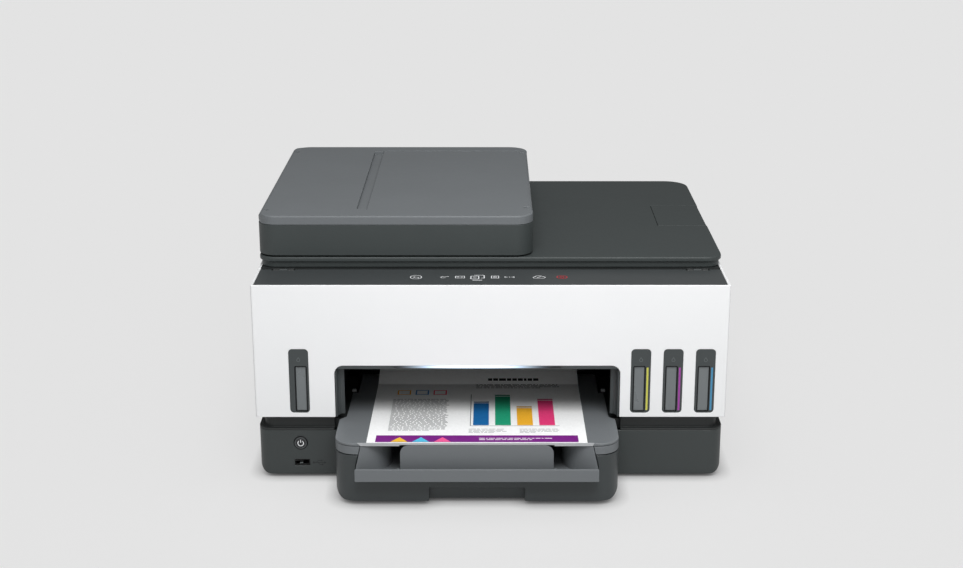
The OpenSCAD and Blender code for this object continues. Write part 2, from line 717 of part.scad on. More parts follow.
// Each tank is centred on its window and stays clear of the side plate of the output bay
black_tank_w = 2 * (duct_x[0] - wall - 0.8 - black_x);
tank_w = min(window_pitch - 3, 2 * (color_x[0] - duct_x[1] - wall - 0.2));
module ink_tank_black() color([0.5, 0.52, 0.53]) in_frame()
    ink_tank(black_x, black_tank_w, black_x);
module ink_tanks_color() color([0.6, 0.62, 0.63]) in_frame()
    for (x = color_x) ink_tank(x, tank_w, x);
module tank_cap_black() color([0.12, 0.12, 0.13]) tank_cap(black_x);
module tank_cap_yellow() color([0.95, 0.85, 0.2]) tank_cap(color_x[0]);
module tank_cap_magenta() color([0.7, 0.2, 0.5]) tank_cap(color_x[1]);
module tank_cap_cyan() color([0.2, 0.55, 0.85]) tank_cap(color_x[2]);

module ink_tube(x, index) {
    y = 106 + tube_step * index;
    z = z_deck + 87 + 4 * index;
    rod_y(x, [tank_y[1], y], tube_port_z, tube_r);
    translate([x, y, tube_port_z]) sphere(tube_r);
    rod_z(x, y, [tube_port_z, z], tube_r);
    translate([x, y, z]) sphere(tube_r);
    rod_x([min(x, manifold_x[0] + 2), max(x, manifold_x[1] - 2)], y, z, tube_r);
}
module ink_tubes() color([0.4, 0.42, 0.45]) in_frame() {
    ink_tube(black_x, 0);
    for (k = [0 : 2]) ink_tube(color_x[k], k + 1);
    slab(manifold_x, [101, 130], [z_deck + 83, z_bed]);
}

// ---------- electronics ----------

module main_board() color([0.1, 0.35, 0.2]) in_frame() {
    board_top = board_z + 1.6;
    slab(board_x, board_y, [board_z, board_top]);
    slab(around(board_x[0] + 30, 22), around(board_y[0] + 40, 22), [board_top, board_top + 2]);
    for (k = [0 : 3])
        rod_z(board_x[0] + 12 + 14 * k, board_y[0] + 12, [board_top, board_top + 9], 4);
    for (k = [0 : 2])
        slab([board_x[0] + 48, board_x[0] + 66], [board_y[0] + 26 + 14 * k, board_y[0] + 32 + 14 * k],
             [board_top, board_top + 7]);
}
module rear_port(x) difference() {
    slab(around(x, port_w), [board_y[1] - 4, y_rear - 0.3], port_z);
    slab(around(x, port_w - 2.4), [board_y[1], y_rear], grow(port_z, -1.2));
}
module rear_ports() color([0.7, 0.71, 0.73]) in_frame() for (x = port_x) rear_port(x);

supply_x = [-half_w + 14, -half_w + 92];
supply_y = [deck_cut_y + 6, y_inner - 16];
module power_supply() color([0.55, 0.56, 0.57]) in_frame()
    difference() {
        slab(supply_x, supply_y, [z_deck, z_deck + 38], 2);
        for (x = [supply_x[0] + 8 : 8 : supply_x[1] - 8])
            slab([x, x + 3], grow(supply_y, -14), [z_deck + 36.5, z_deck + 39]);
    }
module power_inlet() color([0.08, 0.08, 0.08]) in_frame() {
    difference() {
        slab(inlet_x, [supply_y[1], y_rear - 0.3], inlet_z, 2);
        slab(grow(inlet_x, -3), [supply_y[1] + 3, y_rear], grow(inlet_z, -3), 2);
    }
    for (side = [-1, 1])
        rod_y((inlet_x[0] + inlet_x[1]) / 2 + side * 4.3, [supply_y[1] + 2, y_rear - 3],
              (inlet_z[0] + inlet_z[1]) / 2, 1.2);
}

// ---------- paper ----------

front_r = 20;
tray_edge_r = 10;
extension_x = around(bay_mid, extension_w);
wing_x = [tray_x[0] + 6.3, tray_x[1] - 5.8];
tray_front = -tray_reach;
shelf_z = [25.6, 28.1];
hanger_t = 2.5;
hanger_foot = [22.2, 24.6];
hanger_y = [-55, 95];
held = 24;
extension_back = hanger_y[0] + extension_travel + held;
skirt_z = cassette_h + 0.9;
recess_z = [33.6, tray_z(tray_front) - tray_plate];
recess_lean = 5.1;
stop_t = 2.6;
stop_r = 2.1;
stop_axis = [tray_front + stop_t / 2, shelf_z[1] + slide_gap + stop_r];
stop_top = recess_z[1] + 0.7;
stop_w = 142;
stop_x = around(bay_mid, stop_w);
stop_pin_r = 1.2;

module front_outline(inset, back)
    intersection() {
        plan(grow(tray_x, -inset), [tray_front + inset, back + 2 * front_r], front_r - inset);
        plan(tray_x, [tray_front, back]);
    }
// Outline in X and Z of the recess in the front, whose ends lean inwards above the bar
module recess_outline(by, low) {
    low_x = grow(extension_x, by);
    high_x = grow(low_x, -recess_lean);
    polygon([[low_x[0], low], [low_x[1], low], [low_x[1], recess_z[0]], [high_x[1], recess_z[1]],
             [high_x[0], recess_z[1]], [low_x[0], recess_z[0]]]);
}

module output_tray() color([0.46, 0.48, 0.49]) in_frame() {
    intersection() {
        difference() {
            along_x(tray_x)
                polygon([[tray_front, tray_z(tray_front)], [tray_back, tray_z(tray_back)],
                         [tray_back, tray_z(tray_back) - tray_plate],
                         [tray_front, tray_z(tray_front) - tray_plate]]);
            slab(grow(stop_x, 0.6), [tray_front - 1, tray_front + 12], [0, stop_top + 0.35]);
        }
        linear_extrude(z_top) {
            front_outline(0, 2);
            polygon([[tray_x[0], 1.9], [tray_x[1], 1.9], [wing_x[1], wing_y], [wing_x[0], wing_y]]);
            plan(wing_x, [wing_y - 0.1, 80]);
            plan([wing_x[0] + 5.4, wing_x[1] - 5], [79.9, tray_back]);
        }
    }
    difference() {
        translate([0, 0, skirt_z]) linear_extrude(tray_z(2) - 1 - skirt_z) difference() {
            front_outline(0, 2);
            front_outline(wall, 3);
        }
        along_y([tray_front - 1, 3]) recess_outline(0.5, 0);
    }
    for (side = [-1, 1]) {
        x = bay_mid + side * (extension_w / 2 + 0.4);
        along_x(side < 0 ? [x - hanger_t, x] : [x, x + hanger_t])
            polygon([[hanger_y[0], hanger_foot[0]], [hanger_y[1], hanger_foot[0]],
                     [hanger_y[1], tray_z(hanger_y[1]) - 1], [hanger_y[0], tray_z(hanger_y[0]) - 1]]);
        slab(side < 0 ? [x - hanger_t, x + 5] : [x - 5, x + hanger_t], hanger_y, hanger_foot);
    }
}

notch_w = 89;
notch_h = 14.4;
notch_d = 7;
cassette_z = [0.6, cassette_h];
cassette_wall_z = 21;
cassette_floor_z = [3.2, 5.7];
cassette_back = cassette_in;
module cassette() color([0.21, 0.23, 0.24]) in_frame()
    difference() {
        union() {
            intersection() {
                translate([0, 0, cassette_z[0]]) linear_extrude(span_of(cassette_z)) front_outline(0, -0.6);
                along_y([tray_front, 0])
                    plan(tray_x, [cassette_z[0], cassette_z[1] + 2 * tray_edge_r], tray_edge_r);
            }
            slab(tray_x, [-20, cassette_back], [cassette_floor_z[0], cassette_wall_z], 3);
        }
        difference() {
            translate([0, 0, cassette_floor_z[1]]) linear_extrude(cassette_h) {
                front_outline(wall, 1);
                plan(grow(tray_x, -wall), [-10, cassette_back - wall], 2);
            }
            slab(around(bay_mid, notch_w + 5), [tray_front, tray_front + notch_d + wall], [0, notch_h + 3]);
        }
        along_y([tray_front - 1, tray_front + front_r]) recess_outline(0.5, shelf_z[0] - 1);
        slab(around(bay_mid, notch_w), [tray_front - 1, tray_front + notch_d], [-1, notch_h]);
    }

guide_t = 3;
guide_half = 109;
module width_guide(side) in_frame() translate([bay_mid, 0, 0]) on_side(side) {
    low = cassette_floor_z[1] + slide_gap;
    slab([guide_half, guide_half + guide_t], [70, 190], [low, cassette_wall_z - 0.5], 1);
    slab([guide_half, guide_half + 12], [80, 180], [low, low + 2.1], 1);
}
module width_guide_left() color([0.4, 0.55, 0.75]) width_guide(-1);
module width_guide_right() color([0.4, 0.55, 0.75]) width_guide(1);

bar_y = [tray_front - bar_reach, tray_front - bar_reach + 2.2];
bar_z = 37.8;
bar_r = 1.2;
side_h = 44;
cheek_w = 32;
cheek_d = 40;
cheek_r = 30;
module cheek_plan(inset)
    slab([extension_x[0] - cheek_w, extension_x[0] + cheek_w - inset],
         [tray_front + inset, extension_back + 20], [shelf_z[0], z_top], cheek_r - inset);
module cheek()
    intersection() {
        difference() {
            cheek_plan(0);
            cheek_plan(2);
        }
        along_y([tray_front, extension_back]) recess_outline(0, shelf_z[0]);
        along_x([extension_x[0], bay_mid])
            polygon([[tray_front, shelf_z[0]], [extension_back, shelf_z[0]], [extension_back, side_h],
                     [tray_front + cheek_d, side_h],
                     [tray_front + cheek_d, tray_z(tray_front + cheek_d) - tray_plate - 0.4],
                     [tray_front, recess_z[1] - 0.4]]);
    }
module extension() color([0.4, 0.42, 0.43]) in_frame() {
    slab(extension_x, [bar_y[0] + 1, extension_back], shelf_z);
    along_y(bar_y) plan(extension_x, [shelf_z[0], bar_z], bar_r);
    for (side = [-1, 1])
        translate([side < 0 ? 0 : 2 * bay_mid, 0, 0]) on_side(-side) cheek();
    for (x = [stop_x[0] - 3.4, stop_x[1] + 0.4])
        slab([x, x + 3], around(stop_axis[0], 6), [shelf_z[1] - 1, stop_axis[1] + 2]);
    for (x = [[stop_x[0] - 1, stop_x[0] + 5], [stop_x[1] - 5, stop_x[1] + 1]])
        rod_x(x, stop_axis[0], stop_axis[1], stop_pin_r);
}
module paper_stop() color([0.35, 0.37, 0.38]) in_frame()
    difference() {
        union() {
            rod_x(stop_x, stop_axis[0], stop_axis[1], stop_r);
            along_y(around(stop_axis[0], stop_t)) intersection() {
                plan(stop_x, [0, stop_top], 8.5);
                plan(stop_x, [stop_axis[1], stop_top]);
            }
        }
        for (x = [[stop_x[0] - 1, stop_x[0] + 5.5], [stop_x[1] - 5.5, stop_x[1] + 1]])
            rod_x(x, stop_axis[0], stop_axis[1], stop_pin_r + running);
    }

page_t = 0.25;
page_path = [[tray_front + 1.5, tray_z(tray_front + 1.5) + 0.1], [105, tray_z(105) + 0.1],
             [exit_y - 6, plate_low + 0.5], [exit_y + 88, plate_low + 0.5]];
module printed_page() color([0.95, 0.95, 0.93]) in_frame()
    along_x(around(bay_mid, page_w))
        polygon(concat(page_path, [for (k = [3 : -1 : 0]) page_path[k] + [0, page_t]]));

// ---------- scanner lid and document feeder ----------

lid_x = grow(side_x, -0.1);
lid_lower_h = 6;
lid_inset = 2;
pad_x = [-half_w + 7, glass_x[1] + 8];
pad_y = grow(glass_y, 6);
stop_panel_x = [half_w - 51, half_w - 0.3];
stop_panel_y = [174.9, 257.7];
stop_panel_t = 4.6;
stop_panel_pin = 1;

module flip_panel(x, y, z) {
    r = span_of(z) / 2;
    slab([x[0], x[1] - r], y, z);
    rod_y(x[1] - r, y, z[0] + r, r);
}
function flip_axis(x, z) = [x[1] - span_of(z) / 2, (z[0] + z[1]) / 2];
stop_panel_z = [z_lid_top - stop_panel_t, z_lid_top];
stop_panel_axis = flip_axis(stop_panel_x, stop_panel_z);

module scanner_lid() color([0.27, 0.29, 0.3]) in_frame() {
    difference() {
        union() {
            mixed_slab(lid_x, [y_bed, body_d], [z_lid + lid_lower_h, z_lid_top], lid_front_r, lid_rear_r);
            mixed_slab(grow(lid_x, -lid_inset), grow([y_bed, body_d], -lid_inset), [z_lid, z_lid_top - 1],
                       lid_front_r - lid_inset, lid_rear_r - lid_inset);
        }
        slab(pad_x, pad_y, [z_lid - 1, z_lid + 2]);
        slab(grow(pad_x, -8), grow(pad_y, -8), [z_lid - 1, z_lid_top - wall]);
        slab([stop_panel_x[0] - seam, half_w + 1], grow(stop_panel_y, seam),
             [stop_panel_z[0] - seam, z_lid_top + 1]);
    }
    for (y = [stop_panel_y[0] - 1, stop_panel_y[1] - 5])
        rod_y(stop_panel_axis[0], [y, y + 6], stop_panel_axis[1], stop_panel_pin);
    for (side = [-1, 1])
        difference() {
            union() {
                rod_x(around(side * lid_hinge_x, 12), lid_axis[0], lid_axis[1], lid_hinge_r);
                slab(around(side * lid_hinge_x, 12), around(lid_axis[0], 2 * lid_hinge_r),
                     [lid_axis[1], z_lid + 1]);
            }
            rod_x(around(side * lid_hinge_x, 14), lid_axis[0], lid_axis[1], lid_pin_r + running);
        }
}
module lid_pad() color([0.93, 0.93, 0.92]) in_frame()
    slab(pad_x, pad_y, [z_top + slide_gap, z_lid + 2]);
module document_stop() color([0.27, 0.29, 0.3]) in_frame()
    difference() {
        flip_panel(stop_panel_x, stop_panel_y, stop_panel_z);
        for (y = [stop_panel_y[0] - 1, stop_panel_y[1] - 5.5])
            rod_y(stop_panel_axis[0], [y, y + 6.5], stop_panel_axis[1], stop_panel_pin + running);
    }

adf_floor_z = [z_adf, z_adf + wall];
input_x = [adf_x[0] + 94.1, adf_x[1]];
input_y = [82, 348];
input_shelf = [z_adf_top - 9.9, z_adf_top - 7.4];
groove_w = 10.1;
groove_d = 3.4;
exit_slot_z = [z_adf + 3, z_adf + 12.5];
adf_tray_x = [input_x[0] + groove_w, adf_x[1]];
adf_tray_y = grow(input_y, -0.3);
adf_tray_z = [z_cover + 0.2, z_cover_top - 0.6];
adf_tray_axis = flip_axis(adf_tray_x, adf_tray_z);
adf_pin_r = 1.5;
tray_ear_y = [input_y[0] + 9, input_y[1] - 13];
ear_w = 4;
cover_axis = [adf_x[0] + cover_h / 2, z_cover + cover_h / 2];
cover_pin_r = 1.8;
cover_ear_y = [adf_y[0] + 22, adf_y[1] - 30];
adf_roll_at = [adf_x[0] + 54, z_adf + 22];
adf_roll_r = 8;
adf_shaft_r = 3;
adf_rib_y = [adf_y[0] + 5, adf_y[1] - 8];

module adf_slab(inset, z)
    mixed_slab(grow(adf_x, -inset), grow(adf_y, -inset), z, adf_front_r - inset, adf_rear_r - inset);
module ear(x, z, low, y, pin_r, r) {
    slab(around(x, 5), [y, y + ear_w], [low, z]);
    rod_y(x, [y, y + ear_w], z, r);
    rod_y(x, [y - ear_w, y + 2 * ear_w], z, pin_r);
}

module adf_body() color([0.24, 0.26, 0.26]) in_frame() {
    difference() {
        union() {
            difference() {
                adf_slab(0, [z_adf, z_adf_top]);
                adf_slab(wall, [adf_floor_z[1], z_adf_top + 1]);
            }
            intersection() {
                adf_slab(1, input_shelf);
                slab([input_x[0], input_x[1]], adf_y, input_shelf);
            }
            for (y = adf_rib_y)
                slab(around(adf_roll_at[0], 14), [y, y + 3], [z_adf + 1, adf_roll_at[1] + 6]);
            for (y = [input_y[0] + 40, input_y[1] - 44])
                slab([adf_tray_x[0] + 2, adf_tray_x[0] + 8], [y, y + 4], [input_shelf[0], z_adf_top + 0.2]);
        }
        slab([input_x[1] - 5, input_x[1] + 1], [input_y[0] + 8, input_y[1] - 8], exit_slot_z);
        for (y = adf_rib_y)
            rod_y(adf_roll_at[0], [y - 1, y + 4], adf_roll_at[1], adf_shaft_r + running);
    }
    adf_slab(4, [z_lid_top, z_adf + 0.5]);
    for (y = tray_ear_y) ear(adf_tray_axis[0], adf_tray_axis[1], input_shelf[0], y, adf_pin_r, 3.7);
    for (y = cover_ear_y) ear(cover_axis[0], cover_axis[1], z_adf + 1, y, cover_pin_r, 4.1);
}

module adf_cover() color([0.4, 0.41, 0.42]) in_frame()
    difference() {
        intersection() {
            adf_slab(0, [z_cover, z_cover_top]);
            union() {
                difference() {
                    slab([cover_axis[0], adf_x[1]], adf_y, [z_cover, z_cover_top]);
                    difference() {
                        slab([cover_axis[0] + 5, adf_x[1] - wall], grow(adf_y, -wall),
                             [z_cover - 1, z_cover_top - wall], adf_front_r - wall);
                        slab([input_x[0] - wall, adf_x[1]], grow(input_y, wall), [z_cover - 1, z_cover_top]);
                    }
                }
                rod_y(cover_axis[0], adf_y, cover_axis[1], cover_h / 2);
            }
        }
        slab([adf_tray_x[0] - slide_gap, adf_x[1] + 1], input_y, [z_cover - 1, z_cover_top + 1]);
        slab([input_x[0], adf_tray_x[0]], grow(input_y, -4), [z_cover_top - groove_d, z_cover_top + 1]);
        for (y = cover_ear_y) {
            slab([adf_x[0] - 1, cover_axis[0] + 4.8], [y - seam, y + ear_w + seam],
                 [z_cover - 1, z_cover_top + 1]);
            rod_y(cover_axis[0], [y - ear_w - seam, y + 2 * ear_w + seam], cover_axis[1],
                  cover_pin_r + running);
        }
    }

module adf_tray() color([0.4, 0.41, 0.42]) in_frame()
    difference() {
        flip_panel(adf_tray_x, adf_tray_y, adf_tray_z);
        slab([adf_tray_x[0] + wall, adf_tray_axis[0] - 12], grow(adf_tray_y, -wall),
             [adf_tray_z[0] - 1, adf_tray_z[1] - wall]);
        for (y = tray_ear_y) {
            slab([adf_tray_axis[0] - 4.5, adf_x[1] + 1], [y - seam, y + ear_w + seam],
                 grow(adf_tray_z, 1));
            rod_y(adf_tray_axis[0], [y - ear_w - seam, y + 2 * ear_w + seam], adf_tray_axis[1],
                  adf_pin_r + running);
        }
    }

adf_mid_y = (adf_y[0] + adf_y[1]) / 2;
adf_guide_x = [input_x[0] + 31, input_x[0] + 111];
adf_guide_z = input_shelf[1] + slide_gap;
module adf_guide(side) in_frame() {
    face = adf_mid_y + side * 109;
    slab(adf_guide_x, [min(face, face + 3 * side), max(face, face + 3 * side)],
         [adf_guide_z, adf_guide_z + 6]);
    slab(grow(adf_guide_x, -8), [min(face, face + 9 * side), max(face, face + 9 * side)],
         [adf_guide_z, adf_guide_z + 2]);
}
module adf_guide_front() color([0.55, 0.57, 0.58]) adf_guide(-1);
module adf_guide_rear() color([0.55, 0.57, 0.58]) adf_guide(1);

module adf_roller() color([0.3, 0.31, 0.33]) in_frame() {
    rod_y(adf_roll_at[0], [adf_rib_y[0], adf_rib_y[1] + 3], adf_roll_at[1], adf_shaft_r);
    for (y = [adf_mid_y - 45, adf_mid_y + 15])
        rod_y(adf_roll_at[0], [y, y + 30], adf_roll_at[1], adf_roll_r);
}

base();
feet();
mid_frame();
side_panel_left();
side_panel_right();
rear_cover();
scanner_bed();
scan_glass();
scan_rod();
scan_bar();
bay_bezel();
light_bar();
platen();
carriage_rail();
timing_belt();
carriage_motor();
motor_pulley();
idler_pulley();
carriage();
printheads();
service_station();
ink_tank_black();
ink_tanks_color();
tank_cap_black();
tank_cap_cyan();
tank_cap_magenta();
tank_cap_yellow();
ink_tubes();
main_board();
power_supply();
power_inlet();
rear_ports();
front_usb_port();
feed_motor();
motor_gear();
feed_roller();
exit_roller();
pick_arm();
pick_roller();
cassette();
width_guide_left();
width_guide_right();
output_tray();
extension();
paper_stop();
printed_page();
front_door();
control_panel();
window_plates();
power_button();
rear_door();
scanner_lid();
lid_pad();
document_stop();
adf_body();
adf_cover();
adf_tray();
adf_guide_front();
adf_guide_rear();
adf_roller();
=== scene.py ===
"""Looks of an inkjet printer with ink tanks, a document feeder and a paper cassette.

Lengths are in millimetres, and times MM they are in the frame's metres.
"""

import json
import math
import random

import bmesh
import bpy
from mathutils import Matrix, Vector
from mathutils.bvhtree import BVHTree


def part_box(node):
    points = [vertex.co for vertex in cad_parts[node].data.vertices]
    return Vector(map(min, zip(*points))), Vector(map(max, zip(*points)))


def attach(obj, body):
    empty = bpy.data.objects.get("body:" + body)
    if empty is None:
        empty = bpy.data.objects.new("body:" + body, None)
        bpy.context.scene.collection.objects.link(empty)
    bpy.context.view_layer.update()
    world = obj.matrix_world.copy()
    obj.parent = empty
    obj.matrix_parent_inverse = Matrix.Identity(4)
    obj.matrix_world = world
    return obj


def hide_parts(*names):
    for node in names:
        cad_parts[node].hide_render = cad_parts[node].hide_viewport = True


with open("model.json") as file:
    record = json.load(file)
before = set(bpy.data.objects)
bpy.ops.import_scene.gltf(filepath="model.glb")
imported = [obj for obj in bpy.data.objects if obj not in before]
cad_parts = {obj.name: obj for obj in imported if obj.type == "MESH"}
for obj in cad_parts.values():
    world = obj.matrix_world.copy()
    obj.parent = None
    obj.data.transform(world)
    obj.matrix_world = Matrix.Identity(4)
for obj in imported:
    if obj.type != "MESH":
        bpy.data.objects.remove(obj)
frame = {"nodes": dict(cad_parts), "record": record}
NODES = frame["nodes"]
BODY_OF = {node: body for body, nodes in frame["record"]["behaviour"]["bodies"].items() for node in nodes}
SLOT_OF = {part["node"]: part["material_slot"] for part in frame["record"]["subparts"]}
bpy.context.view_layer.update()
random.seed(11)

MM = 0.001
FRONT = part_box("window_plates")[0].y      # plane of the white front, in metres
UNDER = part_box("base")[0].z               # underside of the base, in metres


def at(x, y, z):
    """A point from millimetres across, behind the white front and above the base's underside."""
    return Vector((x * MM, FRONT + y * MM, UNDER + z * MM))


# ---------------------------------------------------------------- materials

def srgb(red, green, blue):
    """Linear colour of an 8-bit display colour."""
    def linear(level):
        level /= 255
        return level / 12.92 if level <= 0.04045 else ((level + 0.055) / 1.055) ** 2.4
    return (linear(red), linear(green), linear(blue), 1.0)


def scaled(colour, factor):
    """A colour made lighter or darker, with no channel above 1."""
    return tuple(min(1.0, channel * factor) for channel in colour[:3]) + (1.0,)


class Graph:
    """A node tree, with short calls that add and wire its nodes."""

    def __init__(self, tree):
        self.tree = tree

    def add(self, kind, **settings):
        node = self.tree.nodes.new(kind)
        for key, value in settings.items():
            setattr(node, key, value)
        return node

    def wire(self, source, target):
        self.tree.links.new(source, target)

    def feed(self, value, target):
        """Wires a socket to target, or writes a number or colour into it."""
        if isinstance(value, bpy.types.NodeSocket):
            self.wire(value, target)
        else:
            target.default_value = value

    def maths(self, operation, *values):
        node = self.add("ShaderNodeMath", operation=operation)
        for value, target in zip(values, node.inputs):
            self.feed(value, target)
        return node.outputs[0]

    def ramp(self, value, low, high, start=0.3, end=0.7, curve="LINEAR"):
        """Maps value from start..end onto low..high. The defaults hold most of a noise's values."""
        node = self.add("ShaderNodeMapRange", interpolation_type=curve)
        for key, number in (("From Min", start), ("From Max", end), ("To Min", low), ("To Max", high)):
            node.inputs[key].default_value = number
        self.wire(value, node.inputs["Value"])
        return node.outputs[0]

    def mix(self, factor, a, b):
        node = self.add("ShaderNodeMix", data_type="RGBA")
        self.feed(factor, node.inputs[0])
        self.feed(a, node.inputs[6])
        self.feed(b, node.inputs[7])
        return node.outputs[2]


class Surface(Graph):
    """A new material around one Principled shader."""

    def __init__(self, name):
        self.material = bpy.data.materials.new(name)
        self.material.use_nodes = True
        super().__init__(self.material.node_tree)
        self.tree.nodes.clear()
        output = self.add("ShaderNodeOutputMaterial")
        self.shader = self.add("ShaderNodeBsdfPrincipled")
        self.wire(self.shader.outputs[0], output.inputs[0])
        self.place = self.add("ShaderNodeTexCoord").outputs["Object"]

    def noise(self, scale, detail, stretch=None):
        """Noise over the object's coordinates, with stretch as scale factors per axis."""
        node = self.add("ShaderNodeTexNoise")
        node.inputs["Scale"].default_value = scale
        node.inputs["Detail"].default_value = detail
        place = self.place
        if stretch:
            mapping = self.add("ShaderNodeMapping")
            mapping.inputs["Scale"].default_value = stretch
            self.wire(place, mapping.inputs["Vector"])
            place = mapping.outputs[0]
        self.wire(place, node.inputs["Vector"])
        return node.outputs["Fac"]

    def edges(self, radius):
        """1 where a rounded copy of the surface normal leaves the true one, 0 on flats."""
        bevel = self.add("ShaderNodeBevel", samples=4)
        bevel.inputs["Radius"].default_value = radius
        geometry = self.add("ShaderNodeNewGeometry")
        likeness = self.add("ShaderNodeVectorMath", operation="DOT_PRODUCT")
        self.wire(bevel.outputs[0], likeness.inputs[0])
        self.wire(geometry.outputs["Normal"], likeness.inputs[1])
        return self.ramp(likeness.outputs["Value"], low=1.0, high=0.0, start=0.80, end=0.99)

    def colour(self, value):
        self.wire(value, self.shader.inputs["Base Color"])

    def roughness(self, value):
        self.wire(value, self.shader.inputs["Roughness"])

    def bump(self, height, strength, distance):
        node = self.add("ShaderNodeBump")
        node.inputs["Strength"].default_value = strength
        node.inputs["Distance"].default_value = distance
        self.wire(height, node.inputs["Height"])
        self.wire(node.outputs[0], self.shader.inputs["Normal"])

    def set(self, **values):
        for key, value in values.items():
            self.shader.inputs[key.replace("_", " ")].default_value = value


def moulded(name, colour, roughness, mottle=0.02, grain=0.25, wear=0.25, coat=0.0, clear=0.0):
    """Injection-moulded plastic: faint mottling, fine grain, and edges a little lighter."""
    g = Surface(name)
    patches = g.ramp(g.noise(scale=14, detail=4), low=0.0, high=1.0)
    body = g.mix(patches, scaled(colour, 1 - mottle), scaled(colour, 1 + mottle))
    specks = g.ramp(g.noise(scale=900, detail=2), low=0.0, high=1.0, start=0.35, end=0.65)
    body = g.mix(specks, body, g.mix(0.5, body, scaled(colour, 1 + mottle * 1.6)))
    if wear:
        rubbed = g.ramp(g.noise(scale=60, detail=4), low=0.0, high=wear, start=0.35, end=0.75)
        worn = g.maths("MULTIPLY", g.edges(0.7 * MM), rubbed)
        body = g.mix(worn, body, scaled(colour, 2.2))
    g.colour(body)
    g.roughness(g.ramp(g.noise(scale=22, detail=5), low=roughness - 0.05, high=roughness + 0.06))
    g.bump(g.noise(scale=2400, detail=2), strength=grain, distance=0.04 * MM)
    g.set(Coat_Weight=coat, Coat_Roughness=0.08, Transmission_Weight=clear)
    return g.material


def metal(name, colour, roughness, grain):
    """Brushed or turned metal. grain holds scale factors per axis, the smallest along the brush marks."""
    g = Surface(name)
    lines = g.noise(scale=260, detail=3, stretch=grain)
    body = g.mix(g.ramp(lines, low=0.0, high=1.0), scaled(colour, 0.86), scaled(colour, 1.1))
    stain = g.ramp(g.noise(scale=18, detail=4), low=0.0, high=0.35, start=0.5, end=0.8)
    g.colour(g.mix(stain, body, scaled(colour, 0.7)))
    g.roughness(g.ramp(lines, low=roughness - 0.08, high=roughness + 0.12))
    g.bump(lines, strength=0.15, distance=0.05 * MM)
    g.set(Metallic=1.0)
    return g.material


def rubbery(name, colour):
    """Dull rubber with paler dust in patches."""
    g = Surface(name)
    dust = g.ramp(g.noise(scale=35, detail=5), low=0.0, high=0.5, start=0.45, end=0.75)
    g.colour(g.mix(dust, colour, scaled(colour, 2.4)))
    g.roughness(g.ramp(g.noise(scale=50, detail=3), low=0.7, high=0.9))
    g.bump(g.noise(scale=1500, detail=3), strength=0.35, distance=0.08 * MM)
    g.set(Specular_IOR_Level=0.3)
    return g.material


def clear_glass(name):
    """Glass with the faintest green, and patches a little less polished."""
    g = Surface(name)
    g.colour(g.mix(g.noise(scale=6, detail=2), (0.92, 0.97, 0.95, 1), (0.97, 0.99, 0.98, 1)))
    g.roughness(g.ramp(g.noise(scale=40, detail=5), low=0.0, high=0.06, start=0.45, end=0.8))
    g.set(Transmission_Weight=1.0, IOR=1.5)
    return g.material


def papery(name, colour):
    """Paper or foam with fine fibres."""
    g = Surface(name)
    fibre = g.noise(scale=420, detail=5, stretch=(1.0, 0.5, 1.0))
    g.colour(g.mix(g.ramp(fibre, low=0.0, high=1.0), scaled(colour, 0.965), scaled(colour, 1.02)))
    g.roughness(g.ramp(fibre, low=0.78, high=0.95))
    g.bump(fibre, strength=0.2, distance=0.06 * MM)
    g.set(Specular_IOR_Level=0.25)
    return g.material


def ink(name, colour):
    """Printed or marked colour with the slight unevenness of a real print."""
    g = Surface(name)
    tone = g.ramp(g.noise(scale=700, detail=3), low=0.0, high=1.0)
    g.colour(g.mix(tone, scaled(colour, 0.94), scaled(colour, 1.06)))
    g.roughness(g.ramp(g.noise(scale=90, detail=3), low=0.5, high=0.65))
    return g.material


def lamp_bar(name, glow, middle, half_length, power):
    """A light guide that glows most at its middle and fades towards both ends."""
    g = Surface(name)
    split = g.add("ShaderNodeSeparateXYZ")
    g.wire(g.place, split.inputs[0])
    away = g.maths("ABSOLUTE", g.maths("SUBTRACT", split.outputs["X"], middle))
    fade = g.ramp(away, low=power, high=0.0, start=0.0, end=half_length, curve="SMOOTHERSTEP")
    g.wire(fade, g.shader.inputs["Emission Strength"])
    g.colour(g.mix(g.noise(scale=300, detail=2), srgb(20, 22, 24), srgb(26, 28, 31)))
    g.set(Emission_Color=glow, Roughness=0.35)
    return g.material


WHITE = moulded("white plastic", srgb(244, 245, 246), roughness=0.4, mottle=0.008, grain=0.10, wear=0.0)
BASE_DARK = moulded("dark grey plastic", srgb(52, 57, 57), roughness=0.48)
FRAME_BLACK = moulded("black plastic", srgb(34, 37, 37), roughness=0.55)
LID_DARK = moulded("lid plastic", srgb(55, 61, 61), roughness=0.52)
COVER_GREY = moulded("feeder cover plastic", srgb(106, 110, 113), roughness=0.52)
BEZEL_DARK = moulded("bezel plastic", srgb(60, 65, 66), roughness=0.45)
PANEL_GLOSS = moulded("control strip plastic", srgb(62, 66, 67), roughness=0.45, grain=0.06, wear=0.1)
CASSETTE_DARK = moulded("cassette plastic", srgb(54, 59, 60), roughness=0.45)
TRAY_GREY = moulded("tray plastic", srgb(109, 113, 116), roughness=0.5)
PORT_BLACK = moulded("port plastic", srgb(10, 11, 12), roughness=0.6)
TANK = moulded("tank plastic", srgb(115, 120, 122), roughness=0.3, mottle=0.03, grain=0.05, wear=0.0,
               clear=0.05)
CAP_BLACK = moulded("black cap plastic", srgb(34, 35, 37), roughness=0.5)
CAP_CYAN = moulded("cyan cap plastic", srgb(30, 140, 200), roughness=0.4)
CAP_MAGENTA = moulded("magenta cap plastic", srgb(190, 30, 130), roughness=0.4)
CAP_YELLOW = moulded("yellow cap plastic", srgb(235, 205, 40), roughness=0.4)
GUIDE_BLUE = moulded("paper guide plastic", srgb(90, 130, 170), roughness=0.42)
GUIDE_GREY = moulded("light grey nylon", srgb(150, 153, 155), roughness=0.5)
